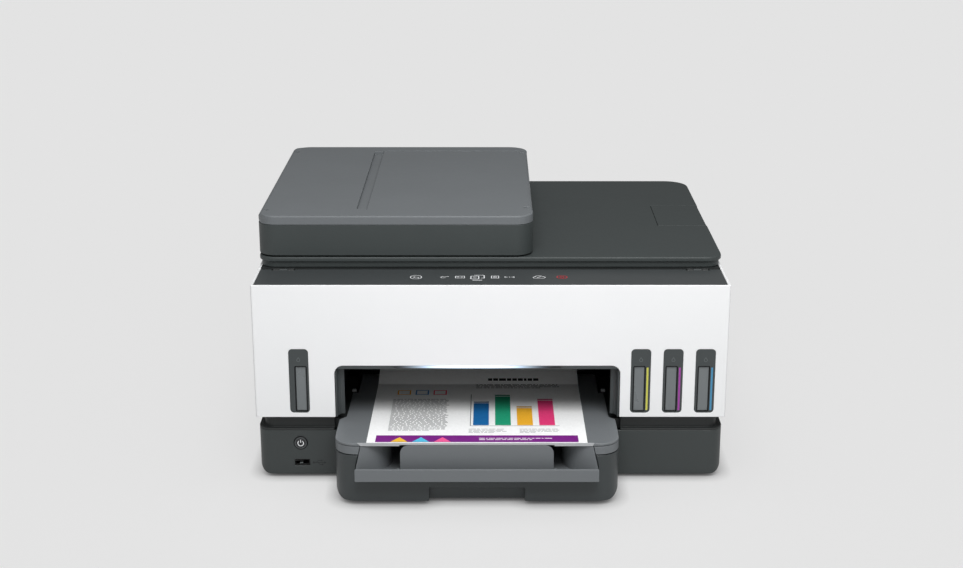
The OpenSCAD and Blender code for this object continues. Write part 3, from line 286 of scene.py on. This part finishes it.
STEEL = metal("brushed steel", (0.62, 0.63, 0.65, 1), roughness=0.3, grain=(1.0, 60.0, 60.0))
BRASS = metal("turned brass", (0.75, 0.58, 0.28, 1), roughness=0.28, grain=(60.0, 60.0, 1.0))
RUBBER = rubbery("black rubber", srgb(32, 32, 33))
GLASS = clear_glass("scan glass")
BOARD = moulded("solder mask", srgb(20, 92, 52), roughness=0.35, mottle=0.08, coat=0.3)
PAPER = papery("printed paper", srgb(246, 247, 247))
PAD = papery("white foam", srgb(236, 236, 233))
SCAN_BLACK = moulded("scan bar plastic", srgb(38, 40, 42), roughness=0.35)
# light grey of the painted highlights on the tray's front edge and in the bay
HIGHLIGHT_GREY = moulded("painted highlight grey", srgb(178, 181, 183), roughness=0.45)
# near-black of the painted shade in the gaps around the tank noses in the ink windows
GAP_SHADE_BLACK = rubbery("painted window gap shade", srgb(16, 17, 18))
ICON_WHITE = ink("icon white", srgb(236, 238, 240))
ICON_RED = ink("icon red", srgb(196, 52, 62))
MARK_GREY = ink("mark grey", srgb(96, 102, 103))
PORT_GREY = ink("port mark", srgb(34, 37, 38))

light_low, light_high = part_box("light_bar")
BRIGHTEST_LEFT = 4      # the glow's middle lies this far left of the bar's
LIGHT = lamp_bar("light guide", glow=(0.66, 0.82, 1.0, 1),
                 middle=(light_low.x + light_high.x) / 2 - BRIGHTEST_LEFT * MM,
                 half_length=(light_high.x - light_low.x) / 2, power=2.6)

FINISH = {
    "white_shell": WHITE, "base_dark": BASE_DARK, "frame_black": FRAME_BLACK, "lid_dark": LID_DARK,
    "cover_grey": COVER_GREY, "bezel_dark": BEZEL_DARK, "panel_gloss": PANEL_GLOSS,
    "cassette_dark": CASSETTE_DARK, "tray_grey": TRAY_GREY, "tank_clear": TANK, "cap_black": CAP_BLACK,
    "cap_cyan": CAP_CYAN, "cap_magenta": CAP_MAGENTA, "cap_yellow": CAP_YELLOW, "guide_blue": GUIDE_BLUE,
    "guide_grey": GUIDE_GREY, "steel": STEEL, "brass": BRASS, "rubber": RUBBER, "glass": GLASS,
    "light": LIGHT, "board_green": BOARD, "paper": PAPER, "pad_white": PAD, "scan_black": SCAN_BLACK,
}
OWN_FINISH = {"front_usb_port": PORT_BLACK}     # nodes that look unlike the rest of their slot

# ---------------------------------------------------------------- pieces that stand for CAD nodes

WELD = 0.002                      # corners nearer than this become one
FLAT = math.radians(0.4)          # faces that turn less than this against each other become one
SHARP = math.radians(28)          # edges that turn more than this are rounded
ONWARD = math.radians(35)         # a sharp edge within this of another's direction carries it on
ROOM_SHARE = 0.42                 # largest part of the room at an edge's ends that its rounding takes
SMALLEST = 0.08                   # smaller roundings are left out
SMOOTH = math.radians(40)         # faces that turn less than this are shaded as one


def room_at(edge, vert, sharp):
    """How far, in metres, a rounding of this edge may reach at one of its ends."""
    along = (edge.other_vert(vert).co - vert.co).normalized()
    room = math.inf
    for other in vert.link_edges:
        if other is edge:
            continue
        turn = along.angle((vert.co - other.other_vert(vert).co).normalized(), 0.0)
        if other in sharp and turn < ONWARD:
            continue
        room = min(room, other.calc_length())
    return room


def softened(node, radius, segments, rim=None, widest=0.0, painted=None):
    """Shows a CAD node with its sharp edges rounded.

    rim takes the two ends of an edge, in metres, and gives the edge's own radius, up to widest, or None.
    painted is a test of a face's middle, and the material of the faces that pass it.
    """
    mesh = NODES[node].data.copy()
    mesh.name = node + "_finished"
    shell = bmesh.new()
    shell.from_mesh(mesh)
    bmesh.ops.remove_doubles(shell, verts=shell.verts, dist=WELD * MM)
    bmesh.ops.dissolve_limit(shell, angle_limit=FLAT, verts=shell.verts, edges=shell.edges)
    weights = shell.edges.layers.float.new("bevel_weight_edge")
    sharp = {edge for edge in shell.edges if len(edge.link_faces) == 2 and edge.calc_face_angle(0.0) > SHARP}
    full_width = max(radius, widest) * MM
    for edge in sharp:
        own = rim(edge.verts[0].co, edge.verts[1].co) if rim else None
        wanted = (radius if own is None else own) * MM
        room = min(room_at(edge, vert, sharp) for vert in edge.verts)
        wanted = min(wanted, room * ROOM_SHARE)
        if wanted > SMALLEST * MM:
            edge[weights] = wanted / full_width
    shell.to_mesh(mesh)
    shell.free()
    mesh.materials.clear()
    mesh.materials.append(OWN_FINISH.get(node, FINISH[SLOT_OF[node]]))
    piece = bpy.data.objects.new(node + "_finished", mesh)
    bpy.context.scene.collection.objects.link(piece)
    bevel = piece.modifiers.new("rounding", "BEVEL")
    bevel.width = full_width
    bevel.segments = segments
    bevel.limit_method = "WEIGHT"
    bevel.use_clamp_overlap = False
    bevel.miter_outer = "MITER_ARC"
    bake_rounding(piece)
    if painted:
        passes, paint = painted
        piece.data.materials.append(paint)
        for face in piece.data.polygons:
            if passes(face.center):
                face.material_index = 1
    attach(piece, BODY_OF[node])
    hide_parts(node)


def bake_rounding(piece):
    """Makes the rounding part of the mesh, and shades smoothly except across corners left sharp."""
    bpy.context.view_layer.update()
    evaluated = piece.evaluated_get(bpy.context.evaluated_depsgraph_get())
    mesh = bpy.data.meshes.new_from_object(evaluated)
    old = piece.data
    piece.modifiers.clear()
    piece.data = mesh
    bpy.data.meshes.remove(old)
    mesh.name = piece.name
    for face in mesh.polygons:
        face.use_smooth = True
    mesh.set_sharp_from_angle(angle=SMOOTH)
    weighted = piece.modifiers.new("even normals", "WEIGHTED_NORMAL")
    weighted.keep_sharp = True
    weighted.weight = 90


def top_rim(node, reach, radius, sharp_to=-math.inf):
    """A rim for softened: radius for edges in a node's top and within reach of its outline, and no
    rounding at all left of sharp_to."""
    low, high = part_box(node)
    off_top = 0.02 * MM

    def rim(a, b):
        middle = (a + b) / 2
        inset = min(middle.x - low.x, high.x - middle.x, middle.y - low.y, high.y - middle.y)
        if middle.x < sharp_to * MM:
            return 0.0
        if abs(a.z - high.z) > off_top or abs(b.z - high.z) > off_top or inset > reach * MM:
            return None
        return radius
    return rim


TRAY_EDGE = -62.5                          # front edge of the output tray
TRAY_FALL = math.tan(math.radians(1.9))    # its slope down towards the back
TRAY_TOP = 58.5                            # height of its front edge
WING_END = 1.5                             # its wings' rounded edges end here
WING_RADIUS = 2.4
TRAY_EDGE_RADIUS = 0.3


def wing_rim(a, b):
    """A rim for softened: the output tray's top edge, well rounded on the wings and crisp along the front."""
    for end in (a, b):
        y = (end.y - FRONT) / MM
        z = (end.z - UNDER) / MM
        off_top = abs(z - TRAY_TOP + (y - TRAY_EDGE) * TRAY_FALL)
        if y > WING_END or off_top > 0.05:
            return None
    runs_across = abs(a.y - b.y) < 0.001 * MM
    if runs_across and a.y < FRONT + (TRAY_EDGE + 0.1) * MM:
        return TRAY_EDGE_RADIUS
    return WING_RADIUS


FEEDER_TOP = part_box("adf_tray")[0].z
LEDGE_Y = 46      # the front's hinge ledge lies behind this
LEDGE_Z = 175     # and above this


def on_feeder_top(middle):
    """True for the hinge ears that reach into the feeder's top."""
    return middle.z > FEEDER_TOP


def on_door_ledge(middle):
    """True for the ledge under the lid's edge that carries the front's hinges; its white faces are painted in
    the lid's dark grey as painted shade under that edge.
    """
    return middle.y > FRONT + LEDGE_Y * MM and middle.z > UNDER + LEDGE_Z * MM


ROUNDED = {
    # the front's white hinge ledge is painted dark: painted shade under the lid's edge
    "front_door": dict(radius=0.6, segments=3, painted=(on_door_ledge, LID_DARK)),
    "side_panel_left": dict(radius=0.6, segments=3),
    "side_panel_right": dict(radius=0.6, segments=3),
    "base": dict(radius=0.7, segments=3),
    "scanner_lid": dict(radius=0.5, segments=3, rim=top_rim("scanner_lid", reach=9, radius=1.6), widest=1.6),
    "adf_body": dict(radius=0.5, segments=3, painted=(on_feeder_top, COVER_GREY)),
    "adf_cover": dict(radius=0.3, segments=4, rim=top_rim("adf_cover", reach=9, radius=1.5, sharp_to=-218),
                      widest=1.5),
    "adf_tray": dict(radius=0.35, segments=3),
    "document_stop": dict(radius=0.3, segments=2),
    "control_panel": dict(radius=0.3, segments=2),
    "bay_bezel": dict(radius=0.5, segments=3),
    "cassette": dict(radius=0.8, segments=3),
    "output_tray": dict(radius=0.5, segments=4, rim=wing_rim, widest=WING_RADIUS),
    "extension": dict(radius=0.5, segments=3),
    "paper_stop": dict(radius=0.5, segments=3),
    "window_plates": dict(radius=0.25, segments=2),
    "power_button": dict(radius=0.4, segments=3),
    "rear_cover": dict(radius=0.6, segments=2),
    "rear_door": dict(radius=0.5, segments=2),
}
OTHER_ROUNDING = dict(radius=0.3, segments=2)
AS_BUILT = ["printed_page"]     # nodes shown as they are, in their finish

for name in NODES:
    if name in AS_BUILT:
        NODES[name].data.materials.clear()
        NODES[name].data.materials.append(FINISH[SLOT_OF[name]])
    else:
        softened(name, **ROUNDED.get(name, OTHER_ROUNDING))

# ---------------------------------------------------------------- drawing flat marks and thin plates

MARK_LIFT = 0.03 * MM     # marks stand this far off the face below them
LEAST_COSINE = 0.5        # a ribbon's corners reach out at most twice its half width


def ribbon(points, width, closed=False):
    """Quads along a flat run of points, mitred at its corners."""
    points = [Vector(p) for p in points]
    count = len(points)
    left, right = [], []
    for i, point in enumerate(points):
        before = points[i - 1] if i or closed else point
        after = points[(i + 1) % count] if i < count - 1 or closed else point
        arriving = (point - before).normalized() if point != before else (after - point).normalized()
        leaving = (after - point).normalized() if after != point else arriving
        along = (arriving + leaving).normalized() if (arriving + leaving).length > 1e-6 else arriving
        side = Vector((-along.y, along.x))
        reach = width / 2 / max(LEAST_COSINE, side.dot(Vector((-arriving.y, arriving.x))))
        left.append(point + side * reach)
        right.append(point - side * reach)
    steps = range(count if closed else count - 1)
    return [[left[i], right[i], right[(i + 1) % count], left[(i + 1) % count]] for i in steps]


def arc(x, y, radius, start=0, end=360, steps=24, squeeze=1.0):
    """Points of a circular arc about (x, y), angles in degrees, its height times squeeze."""
    turns = [math.radians(start + (end - start) * i / steps) for i in range(steps + 1)]
    return [(x + radius * math.cos(a), y + radius * squeeze * math.sin(a)) for a in turns]


def disc(x, y, radius, steps):
    return arc(x, y, radius, steps=steps)[:-1]


def block(x0, x1, y0, y1):
    return [(x0, y0), (x1, y0), (x1, y1), (x0, y1)]


def rounded_block(x0, x1, y0, y1, r):
    return (arc(x1 - r, y1 - r, r, 0, 90, 5) + arc(x0 + r, y1 - r, r, 90, 180, 5)
            + arc(x0 + r, y0 + r, r, 180, 270, 5) + arc(x1 - r, y0 + r, r, 270, 360, 5))


def on_upright(face_y, x0=0.0, z0=0.0):
    """Gives a function that puts (x, z), counted from (x0, z0), on an upright face at face_y metres."""
    def place(x, z):
        return Vector(((x0 + x) * MM, face_y, UNDER + (z0 + z) * MM))
    return place


def add_piece(name, shape, material, body):
    """Makes a piece of a shape drawn in place, and lets it ride on a body."""
    mesh = bpy.data.meshes.new(name)
    shape.to_mesh(mesh)
    shape.free()
    mesh.materials.append(material)
    piece = bpy.data.objects.new(name, mesh)
    bpy.context.scene.collection.objects.link(piece)
    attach(piece, body)


def add_marks(name, faces, place, material, body):
    """One piece from flat faces, each corner put on a surface by place."""
    shape = bmesh.new()
    for face in faces:
        shape.faces.new([shape.verts.new(place(p[0], p[1])) for p in face])
    bmesh.ops.remove_doubles(shape, verts=shape.verts, dist=0.0001 * MM)
    add_piece(name, shape, material, body)


def add_plate(name, outline, low_y, high_y, material, body, slot_name):
    """A thin solid: an outline across and up between two depths."""
    shape = bmesh.new()
    near = [shape.verts.new(at(x, low_y, z)) for x, z in outline]
    far = [shape.verts.new(at(x, high_y, z)) for x, z in outline]
    shape.faces.new(near)
    shape.faces.new(far[::-1])
    for i in range(len(outline)):
        j = (i + 1) % len(outline)
        shape.faces.new((near[i], far[i], far[j], near[j]))
    bmesh.ops.recalc_face_normals(shape, faces=shape.faces)
    add_piece(name, shape, material, body)


# ---------------------------------------------------------------- icons on the control strip

LINE = 0.75       # width of the icons' strokes
ICON_Y = 27.0     # the icons' line, behind the white front
STRIP_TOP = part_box("control_panel")[1].z + MARK_LIFT


def on_strip(x, y):
    """Icon coordinates: x across, y towards the back from the icons' line."""
    return Vector((x * MM, FRONT + (ICON_Y + y) * MM, STRIP_TOP))


def shifted(x, faces):
    return [[(p[0] + x, p[1]) for p in face] for face in faces]


# each icon is drawn about its own middle

def icon_back():
    faces = ribbon(arc(0, 0, 5.4, squeeze=1.05), LINE, True)
    faces += ribbon([(-2.6, 0), (1.4, 0), (2.8, -1.4), (2.2, -3)], LINE)
    return faces + ribbon([(-0.8, 1.9), (-2.8, 0), (-0.8, -1.9)], LINE)


def icon_tools():
    faces = ribbon(arc(-1.8, -0.4, 2.2, 60, 330, 14), LINE)
    return faces + ribbon([(-0.4, 0.6), (2.6, 2.6), (3.4, 1.2)], LINE)


def icon_card():
    faces = ribbon(block(-4.2, 4.2, -3.2, 3.2), LINE, True)
    faces += ribbon(arc(-1.9, 0.8, 1.0, steps=10), LINE * 0.8, True)
    return faces + ribbon([(0.6, 1.2), (2.8, 1.2)], LINE) + ribbon([(0.6, -0.8), (2.8, -0.8)], LINE)


def icon_copy():
    faces = ribbon(rounded_block(-6.2, 1.2, -6.0, 3.4, 1.0), LINE * 1.3, True)
    faces += ribbon([(-3.2, 6.2), (5.2, 6.2), (6.4, 5.0), (6.4, -3.2), (3.4, -3.2)], LINE * 1.3)
    faces += ribbon([(-4.2, 0.4), (-0.8, 0.4)], LINE) + ribbon([(-4.2, -2.6), (-0.8, -2.6)], LINE)
    return faces + [block(-4.6, 4.6, -10.6, -9.2)]


def icon_page():
    faces = ribbon(block(-3.4, 3.4, -3.6, 3.8), LINE, True)
    for y in (-1.6, 0.2, 2.0):
        faces += ribbon([(-1.9, y), (1.9, y)], LINE)
    return faces


def icon_dots():
    faces = [disc(x, 0, 0.75, steps=10) for x in (-2.6, 0.0, 2.6)]
    return faces + ribbon([(-4.2, 2.2), (-4.2, -2.2)], LINE) + ribbon([(4.2, 2.2), (4.2, -2.2)], LINE)


def icon_cloud():
    outline = (arc(-3.0, -1.2, 2.4, 100, 270, 12) + arc(3.2, -0.8, 2.8, -90, 80, 12)
               + arc(-0.2, 1.4, 3.1, 35, 150, 12))
    return ribbon(outline, LINE, True) + ribbon([(-1.6, -2.0), (1.8, 2.2)], LINE)


def icon_stop():
    faces = ribbon(arc(0, 0, 4.8), LINE, True)
    return faces + ribbon([(-2, -2), (2, 2)], LINE * 1.2) + ribbon([(-2, 2), (2, -2)], LINE * 1.2)


ICONS = [("back", -70.8, icon_back, ICON_WHITE), ("tools", -43.2, icon_tools, ICON_WHITE),
         ("card", -29.0, icon_card, ICON_WHITE), ("copy", -12.4, icon_copy, ICON_WHITE),
         ("page", 4.3, icon_page, ICON_WHITE), ("dots", 18.0, icon_dots, ICON_WHITE),
         ("cloud", 45.9, icon_cloud, ICON_WHITE), ("stop", 67.9, icon_stop, ICON_RED)]
for label, x, draw, colour in ICONS:
    add_marks("icon_" + label, shifted(x, draw()), on_strip, colour, "front_door")

# ---------------------------------------------------------------- ink windows

PLATES = [-182.1, 142.7, 173.3, 203.9]    # middles of the four window plates
STRIPES = {142.7: ("yellow", srgb(206, 204, 88)), 173.3: ("magenta", srgb(158, 66, 158)),
           203.9: ("cyan", srgb(72, 142, 182))}
STRIPE_X = (5.5, 7.3)                     # from a plate's middle
STRIPE_Z = (66.8, 110.0)
DROP_Z = 117.5
DROP_RADIUS = 1.5
DROP_LINE = 0.45
on_plates = on_upright(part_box("window_plates")[0].y - MARK_LIFT)


def droplet(x, z, size):
    """Outline of a drop: a circle below that draws up to a point."""
    return [(x, z + size * 1.7)] + arc(x, z, size, 25, -205, 16)


for x, (colour_name, colour) in STRIPES.items():
    stripe = block(x + STRIPE_X[0], x + STRIPE_X[1], *STRIPE_Z)
    add_marks("stripe_" + colour_name, [stripe], on_plates, ink(colour_name + " stripe", colour),
              "front_door")
for number, x in enumerate(PLATES):
    drop = ribbon(droplet(x, DROP_Z, DROP_RADIUS), DROP_LINE, True)
    add_marks(f"drop_mark_{number + 1}", drop, on_plates, MARK_GREY, "front_door")

NOSES = [-180.3, 141.4, 172.0, 202.6]     # middles of the tanks' noses, which show in the windows
NOSE_HALF = 4.8
NOSE_Z = (66.2, 110.4)
GAP_SHADE_WIDTH = 1.05
GAP_SHADE_OFFSET = 0.1                            # between a nose and the painted shade around it
GAP_SHADE_DEPTH = 0.35                         # behind the white front
on_gap_shade = on_upright(FRONT + GAP_SHADE_DEPTH * MM)

# a near-black ribbon around each nose: painted shade in the gap between the nose and its window
for number, x in enumerate(NOSES):
    reach = GAP_SHADE_WIDTH / 2 + GAP_SHADE_OFFSET
    middle_line = block(x - NOSE_HALF - reach, x + NOSE_HALF + reach, NOSE_Z[0] - reach, NOSE_Z[1] + reach)
    add_marks(f"window_gap_shade_{number + 1}", ribbon(middle_line, GAP_SHADE_WIDTH, True), on_gap_shade, GAP_SHADE_BLACK,
              "front_door")

# ---------------------------------------------------------------- painted highlights: the tray's light edge, and tabs in the bay

LIP_TOP = 59.0
LIP_FOOT = 56.1
ABOVE_STOP = 57.2          # the lip is cut up to here over the paper stop
BESIDE_STOP = 0.5
stop_low, stop_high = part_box("paper_stop")
stop_left = stop_low.x / MM - BESIDE_STOP
stop_right = stop_high.x / MM + BESIDE_STOP
LIP_Y = (TRAY_EDGE - 0.05, TRAY_EDGE + 0.7)
# a thin light grey plate along the tray's front edge: a painted highlight where that edge catches the light
lip = [(-122.9, LIP_TOP), (95.6, LIP_TOP), (94.2, LIP_FOOT), (stop_right, LIP_FOOT), (stop_right, ABOVE_STOP),
       (stop_left, ABOVE_STOP), (stop_left, LIP_FOOT), (-119.6, LIP_FOOT)]
add_plate("tray_edge_highlight", lip, *LIP_Y, HIGHLIGHT_GREY, "casing", "tray_grey")

# small light grey plates in the bay: painted highlights where parts inside catch the light
TABS = [("left", -140.0), ("right", 112.0)]
TAB_WIDTH = 4
TAB_Z = (50.6, 53.0)
TAB_Y = (90, 93)
for side, x in TABS:
    add_plate("bay_highlight_tab_" + side, block(x, x + TAB_WIDTH, *TAB_Z), *TAB_Y, HIGHLIGHT_GREY, "casing", "tray_grey")

# ---------------------------------------------------------------- power button and port marks

BUTTON = (-182.9, 32.3)     # its middle
POWER_LINE = 0.8
on_button = on_upright(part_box("power_button")[0].y - MARK_LIFT, *BUTTON)
power = ribbon(arc(0, -0.2, 2.7, 125, 415, 26), POWER_LINE) + ribbon([(0, 0.4), (0, 3.4)], POWER_LINE)
add_marks("power_mark", power, on_button, ICON_WHITE, "power_button")

# port mark: a stem with an arrowhead, two arms, and a disc or a square at each other end
STEM_Z = 11.8
STEM_LINE = 0.7
ARM_LINE = 0.6
on_base = on_upright(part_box("base")[0].y - MARK_LIFT)
trident = ribbon([(-170.5, STEM_Z), (-160.5, STEM_Z)], STEM_LINE)
trident += [[(-158.6, STEM_Z), (-161.0, STEM_Z + 1.2), (-161.0, STEM_Z - 1.2)]]
trident += ribbon([(-168.6, STEM_Z), (-166.6, 13.9), (-163.8, 13.9)], ARM_LINE)
trident += ribbon([(-166.8, STEM_Z), (-165.0, 9.7), (-163.2, 9.7)], ARM_LINE)
trident += [disc(-171.0, STEM_Z, 1.1, steps=12), disc(-163.2, 13.9, 0.8, steps=10),
            block(-163.4, -161.8, 8.9, 10.5)]
for number, face in enumerate(trident):
    add_marks(f"port_mark_{number + 1}", [face], on_base, PORT_GREY, "casing")

# the tongue that carries the contacts inside the front socket
TONGUE = block(-184.4, -181.6, 10.2, 11.5)
TONGUE_Y = (3.0, 13.0)
add_plate("port_tongue", TONGUE, *TONGUE_Y, MARK_GREY, "casing", "steel")

RING_RADIUS = 5.3
RING_LINE = 0.35
ring = ribbon(arc(0, 0, RING_RADIUS, steps=36), RING_LINE, True)
add_marks("button_ring", ring, on_button, MARK_GREY, "power_button")

# ---------------------------------------------------------------- the printed page: a generic report

PAGE_LOW, PAGE_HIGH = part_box("printed_page")
page_tree = BVHTree.FromPolygons([v.co for v in NODES["printed_page"].data.vertices],
                                 [p.vertices for p in NODES["printed_page"].data.polygons])
PRINT_LIFT = 0.09 * MM      # height of a layer of print above what is under it
CELL = 5.0                  # longest stretch of a long block that is drawn as one flat face
WORD_LENGTH = (1.6, 7.5)
WORD_GAP = 1.1
LINE_REST = 2               # room at a line's end that gets no further word
SHORT_OF_END = (0, 3)       # how much shorter than its column a line may be
LAST_LINE = (10, 26)        # and the last line


def on_page(layer):
    """Gives a function that drops (u, s), counted from the page's left and front edges, onto the sheet."""
    def place(u, s):
        start = Vector((PAGE_LOW.x + u * MM, PAGE_LOW.y + s * MM, PAGE_HIGH.z + 1))
        hit = page_tree.ray_cast(start, Vector((0, 0, -1)))[0]
        return hit + Vector((0, 0, PRINT_LIFT * layer))
    return place


def printed(name, faces, colour, layer=1):
    add_marks("print_" + name, faces, on_page(layer), ink("print " + name, colour), "casing")


def long_block(u0, u1, s0, s1):
    """A block cut along s, so that it follows the sheet's bends."""
    count = max(1, math.ceil((s1 - s0) / CELL))
    step = (s1 - s0) / count
    return [block(u0, u1, s0 + i * step, s0 + (i + 1) * step) for i in range(count)]


def words(u0, u1, s, height):
    """A line of word-like dashes with uneven lengths."""
    faces = []
    u = u0
    while u < u1 - LINE_REST:
        length = min(random.uniform(*WORD_LENGTH), u1 - u)
        faces.append(block(u, u + length, s, s + height))
        u += length + WORD_GAP
    return faces


def paragraph(u0, u1, s0, s1, pitch, height):
    """Lines of words from s1 down to s0, with a ragged right edge and a short last line."""
    faces = []
    s = s1 - pitch
    while s >= s0:
        shortfall = LAST_LINE if s - pitch < s0 else SHORT_OF_END
        faces += words(u0, u1 - random.uniform(*shortfall), s, height)
        s -= pitch
    return faces


TEXT_GREY = srgb(120, 122, 124)
CAPTION_GREY = srgb(165, 167, 168)
printed("title", words(112, 166, s=172, height=4.2), srgb(28, 28, 32))
printed("lead", paragraph(100, 186, 150, 167, pitch=3.4, height=1.4), srgb(70, 72, 74))
printed("column", paragraph(18, 74, 30, 122, pitch=2.9, height=1.3), TEXT_GREY)
printed("caption_left", paragraph(94, 130, 26, 38, pitch=3.0, height=1.2), CAPTION_GREY)
printed("caption_right", paragraph(142, 182, 26, 38, pitch=3.0, height=1.2), CAPTION_GREY)

COLUMNS = [("blue", srgb(18, 104, 168), 62), ("green", srgb(30, 158, 118), 82),
           ("amber", srgb(243, 180, 44), 48), ("pink", srgb(234, 62, 124), 70)]
CHART_U = 98                # left edge and foot of the first column
CHART_S = 46
COLUMN_WIDTH = 15
COLUMN_PITCH = 21
TIP = (1.5, 5)              # a thin block above each column, from its top
for number, (label, colour, height) in enumerate(COLUMNS):
    u = CHART_U + number * COLUMN_PITCH
    top = CHART_S + height
    printed("bar_" + label, long_block(u, u + COLUMN_WIDTH, CHART_S, top), colour)
    printed("tip_" + label, long_block(u, u + COLUMN_WIDTH, top + TIP[0], top + TIP[1]), scaled(colour, 0.55))

AXIS_U = CHART_U - 3
AXIS_S = CHART_S - 2
AXIS_LINE = 0.7
AXIS_TOP = CHART_S + 88
AXIS_END = CHART_U + len(COLUMNS) * COLUMN_PITCH - 2
axes = long_block(AXIS_U, AXIS_U + AXIS_LINE, AXIS_S, AXIS_TOP)
axes += [block(AXIS_U, AXIS_END, AXIS_S, AXIS_S + AXIS_LINE)]
printed("axes", axes, srgb(90, 92, 94))

SQUARES = [(22, srgb(236, 176, 60)), (40, srgb(60, 130, 190)), (58, srgb(225, 60, 90))]
SQUARE_SIZE = 12
SQUARE_S = 134
SQUARE_LINE = 1.3
for number, (u, colour) in enumerate(SQUARES):
    square = block(u, u + SQUARE_SIZE, SQUARE_S, SQUARE_S + SQUARE_SIZE)
    printed(f"square_{number + 1}", ribbon(square, SQUARE_LINE, True), colour)

printed("band", long_block(8, 196, 1.5, 19), srgb(118, 18, 128))
printed("band_words", paragraph(104, 176, 4, 14, pitch=3.6, height=1.5), srgb(240, 232, 242), layer=2)
PEAKS = [(22, srgb(240, 190, 50)), (42, srgb(80, 190, 225)), (62, srgb(240, 90, 150))]
PEAK_WIDTH = 16
PEAK_S = (2, 14)
for number, (u, colour) in enumerate(PEAKS):
    peak = [(u, PEAK_S[0]), (u + PEAK_WIDTH, PEAK_S[0]), (u + PEAK_WIDTH / 2, PEAK_S[1])]
    printed(f"peak_{number + 1}", [peak], colour, layer=2)

# ---------------------------------------------------------------- floor

FLOOR_HALF = 12         # metres
EVEN_SHARE = 0.6        # part of the floor's look that lamps and real shadows don't change
CONTACT_REACH = 16      # the even part carries a painted contact shadow within this of the printer

FLOOR = moulded("studio floor", srgb(236, 236, 236), roughness=0.9, mottle=0.0, grain=0.0, wear=0.0)
floor_mesh = bpy.data.meshes.new("floor")
floor_mesh.from_pydata([(-FLOOR_HALF, -FLOOR_HALF, 0), (FLOOR_HALF, -FLOOR_HALF, 0),
                        (FLOOR_HALF, FLOOR_HALF, 0), (-FLOOR_HALF, FLOOR_HALF, 0)], [], [(0, 1, 2, 3)])
floor_mesh.materials.append(FLOOR)

# seen by the camera, in metal and in glass, the floor is an even pale grey with a painted contact shadow near
# the printer, and keeps part of each real shadow
g = Graph(FLOOR.node_tree)
ray = g.add("ShaderNodeLightPath").outputs
seen = g.maths("MAXIMUM", ray["Is Camera Ray"], ray["Is Glossy Ray"])
seen = g.maths("MAXIMUM", seen, ray["Is Transmission Ray"])
contact = g.add("ShaderNodeAmbientOcclusion", samples=12)
contact.inputs["Distance"].default_value = CONTACT_REACH * MM
contact.inputs["Color"].default_value = (1.0, 1.0, 1.0, 1)
even = g.add("ShaderNodeEmission")
g.wire(contact.outputs["Color"], even.inputs["Color"])
surface = next(node for node in FLOOR.node_tree.nodes if node.type == "OUTPUT_MATERIAL").inputs["Surface"]
lit = surface.links[0].from_socket
blend = g.add("ShaderNodeMixShader")
g.wire(g.maths("MULTIPLY", seen, EVEN_SHARE), blend.inputs[0])
g.wire(lit, blend.inputs[1])
g.wire(even.outputs[0], blend.inputs[2])
g.wire(blend.outputs[0], surface)

floor = bpy.data.objects.new("floor", floor_mesh)
bpy.context.scene.collection.objects.link(floor)

# ---------------------------------------------------------------- light

world = bpy.data.worlds.new("studio")
bpy.context.scene.world = world
world.use_nodes = True
sky = Graph(world.node_tree)
background = world.node_tree.nodes["Background"]
background.inputs["Strength"].default_value = 0.36
direction = sky.add("ShaderNodeSeparateXYZ")
sky.wire(sky.add("ShaderNodeTexCoord").outputs["Generated"], direction.inputs[0])

# darker low behind the printer, where its level tops mirror the room
low_part = sky.ramp(direction.outputs["Z"], low=1.0, high=0.0, start=0.18, end=0.52, curve="SMOOTHSTEP")
back_part = sky.ramp(direction.outputs["Y"], low=0.0, high=0.85, start=0.1, end=0.7, curve="SMOOTHSTEP")
tint = sky.mix(sky.maths("MULTIPLY", low_part, back_part), (1.0, 1.0, 1.0, 1), (0.03, 0.032, 0.034, 1))
sky.wire(tint, background.inputs["Color"])


def sun(name, strength, spread, tilt, turn):
    """A large soft source at infinity: spread, tilt from overhead and turn about Z are in degrees."""
    data = bpy.data.lights.new(name, "SUN")
    data.energy = strength
    data.angle = math.radians(spread)
    lamp = bpy.data.objects.new(name, data)
    lamp.rotation_euler = (math.radians(tilt), 0, math.radians(turn))
    bpy.context.scene.collection.objects.link(lamp)


sun("overhead", strength=0.45, spread=40, tilt=20, turn=0)
sun("front", strength=0.34, spread=50, tilt=76, turn=8)

# the main soft box, near the front, lights the printer and not the floor
SOFT_BOX_AIM = Vector((0, 0, 0.13))
box_data = bpy.data.lights.new("soft_box", "AREA")
box_data.shape = "RECTANGLE"
box_data.size = 0.75
box_data.size_y = 0.5
box_data.energy = 8.6
soft_box = bpy.data.objects.new("soft_box", box_data)
soft_box.location = (0.13, -0.72, 0.98)
soft_box.rotation_euler = (SOFT_BOX_AIM - soft_box.location).to_track_quat("-Z", "Y").to_euler()
bpy.context.scene.collection.objects.link(soft_box)
unlit = bpy.data.collections.new("unlit_by_soft_box")
unlit.objects.link(floor)
unlit.collection_objects[0].light_linking.link_state = "EXCLUDE"
soft_box.light_linking.receiver_collection = unlit

# ---------------------------------------------------------------- camera, fitted to the photograph

camera_data = bpy.data.cameras.new("camera")
camera_data.lens = 59.18
camera_data.sensor_width = 36
camera_data.shift_x = -0.00935
camera = bpy.data.objects.new("camera", camera_data)
camera.location = (0, -1.560, 0.6328)
camera.rotation_euler = (math.radians(72.8), 0, 0)
bpy.context.scene.collection.objects.link(camera)
bpy.context.scene.camera = camera

bpy.context.scene.view_settings.view_transform = "Standard"
bpy.context.scene.view_settings.look = "None"
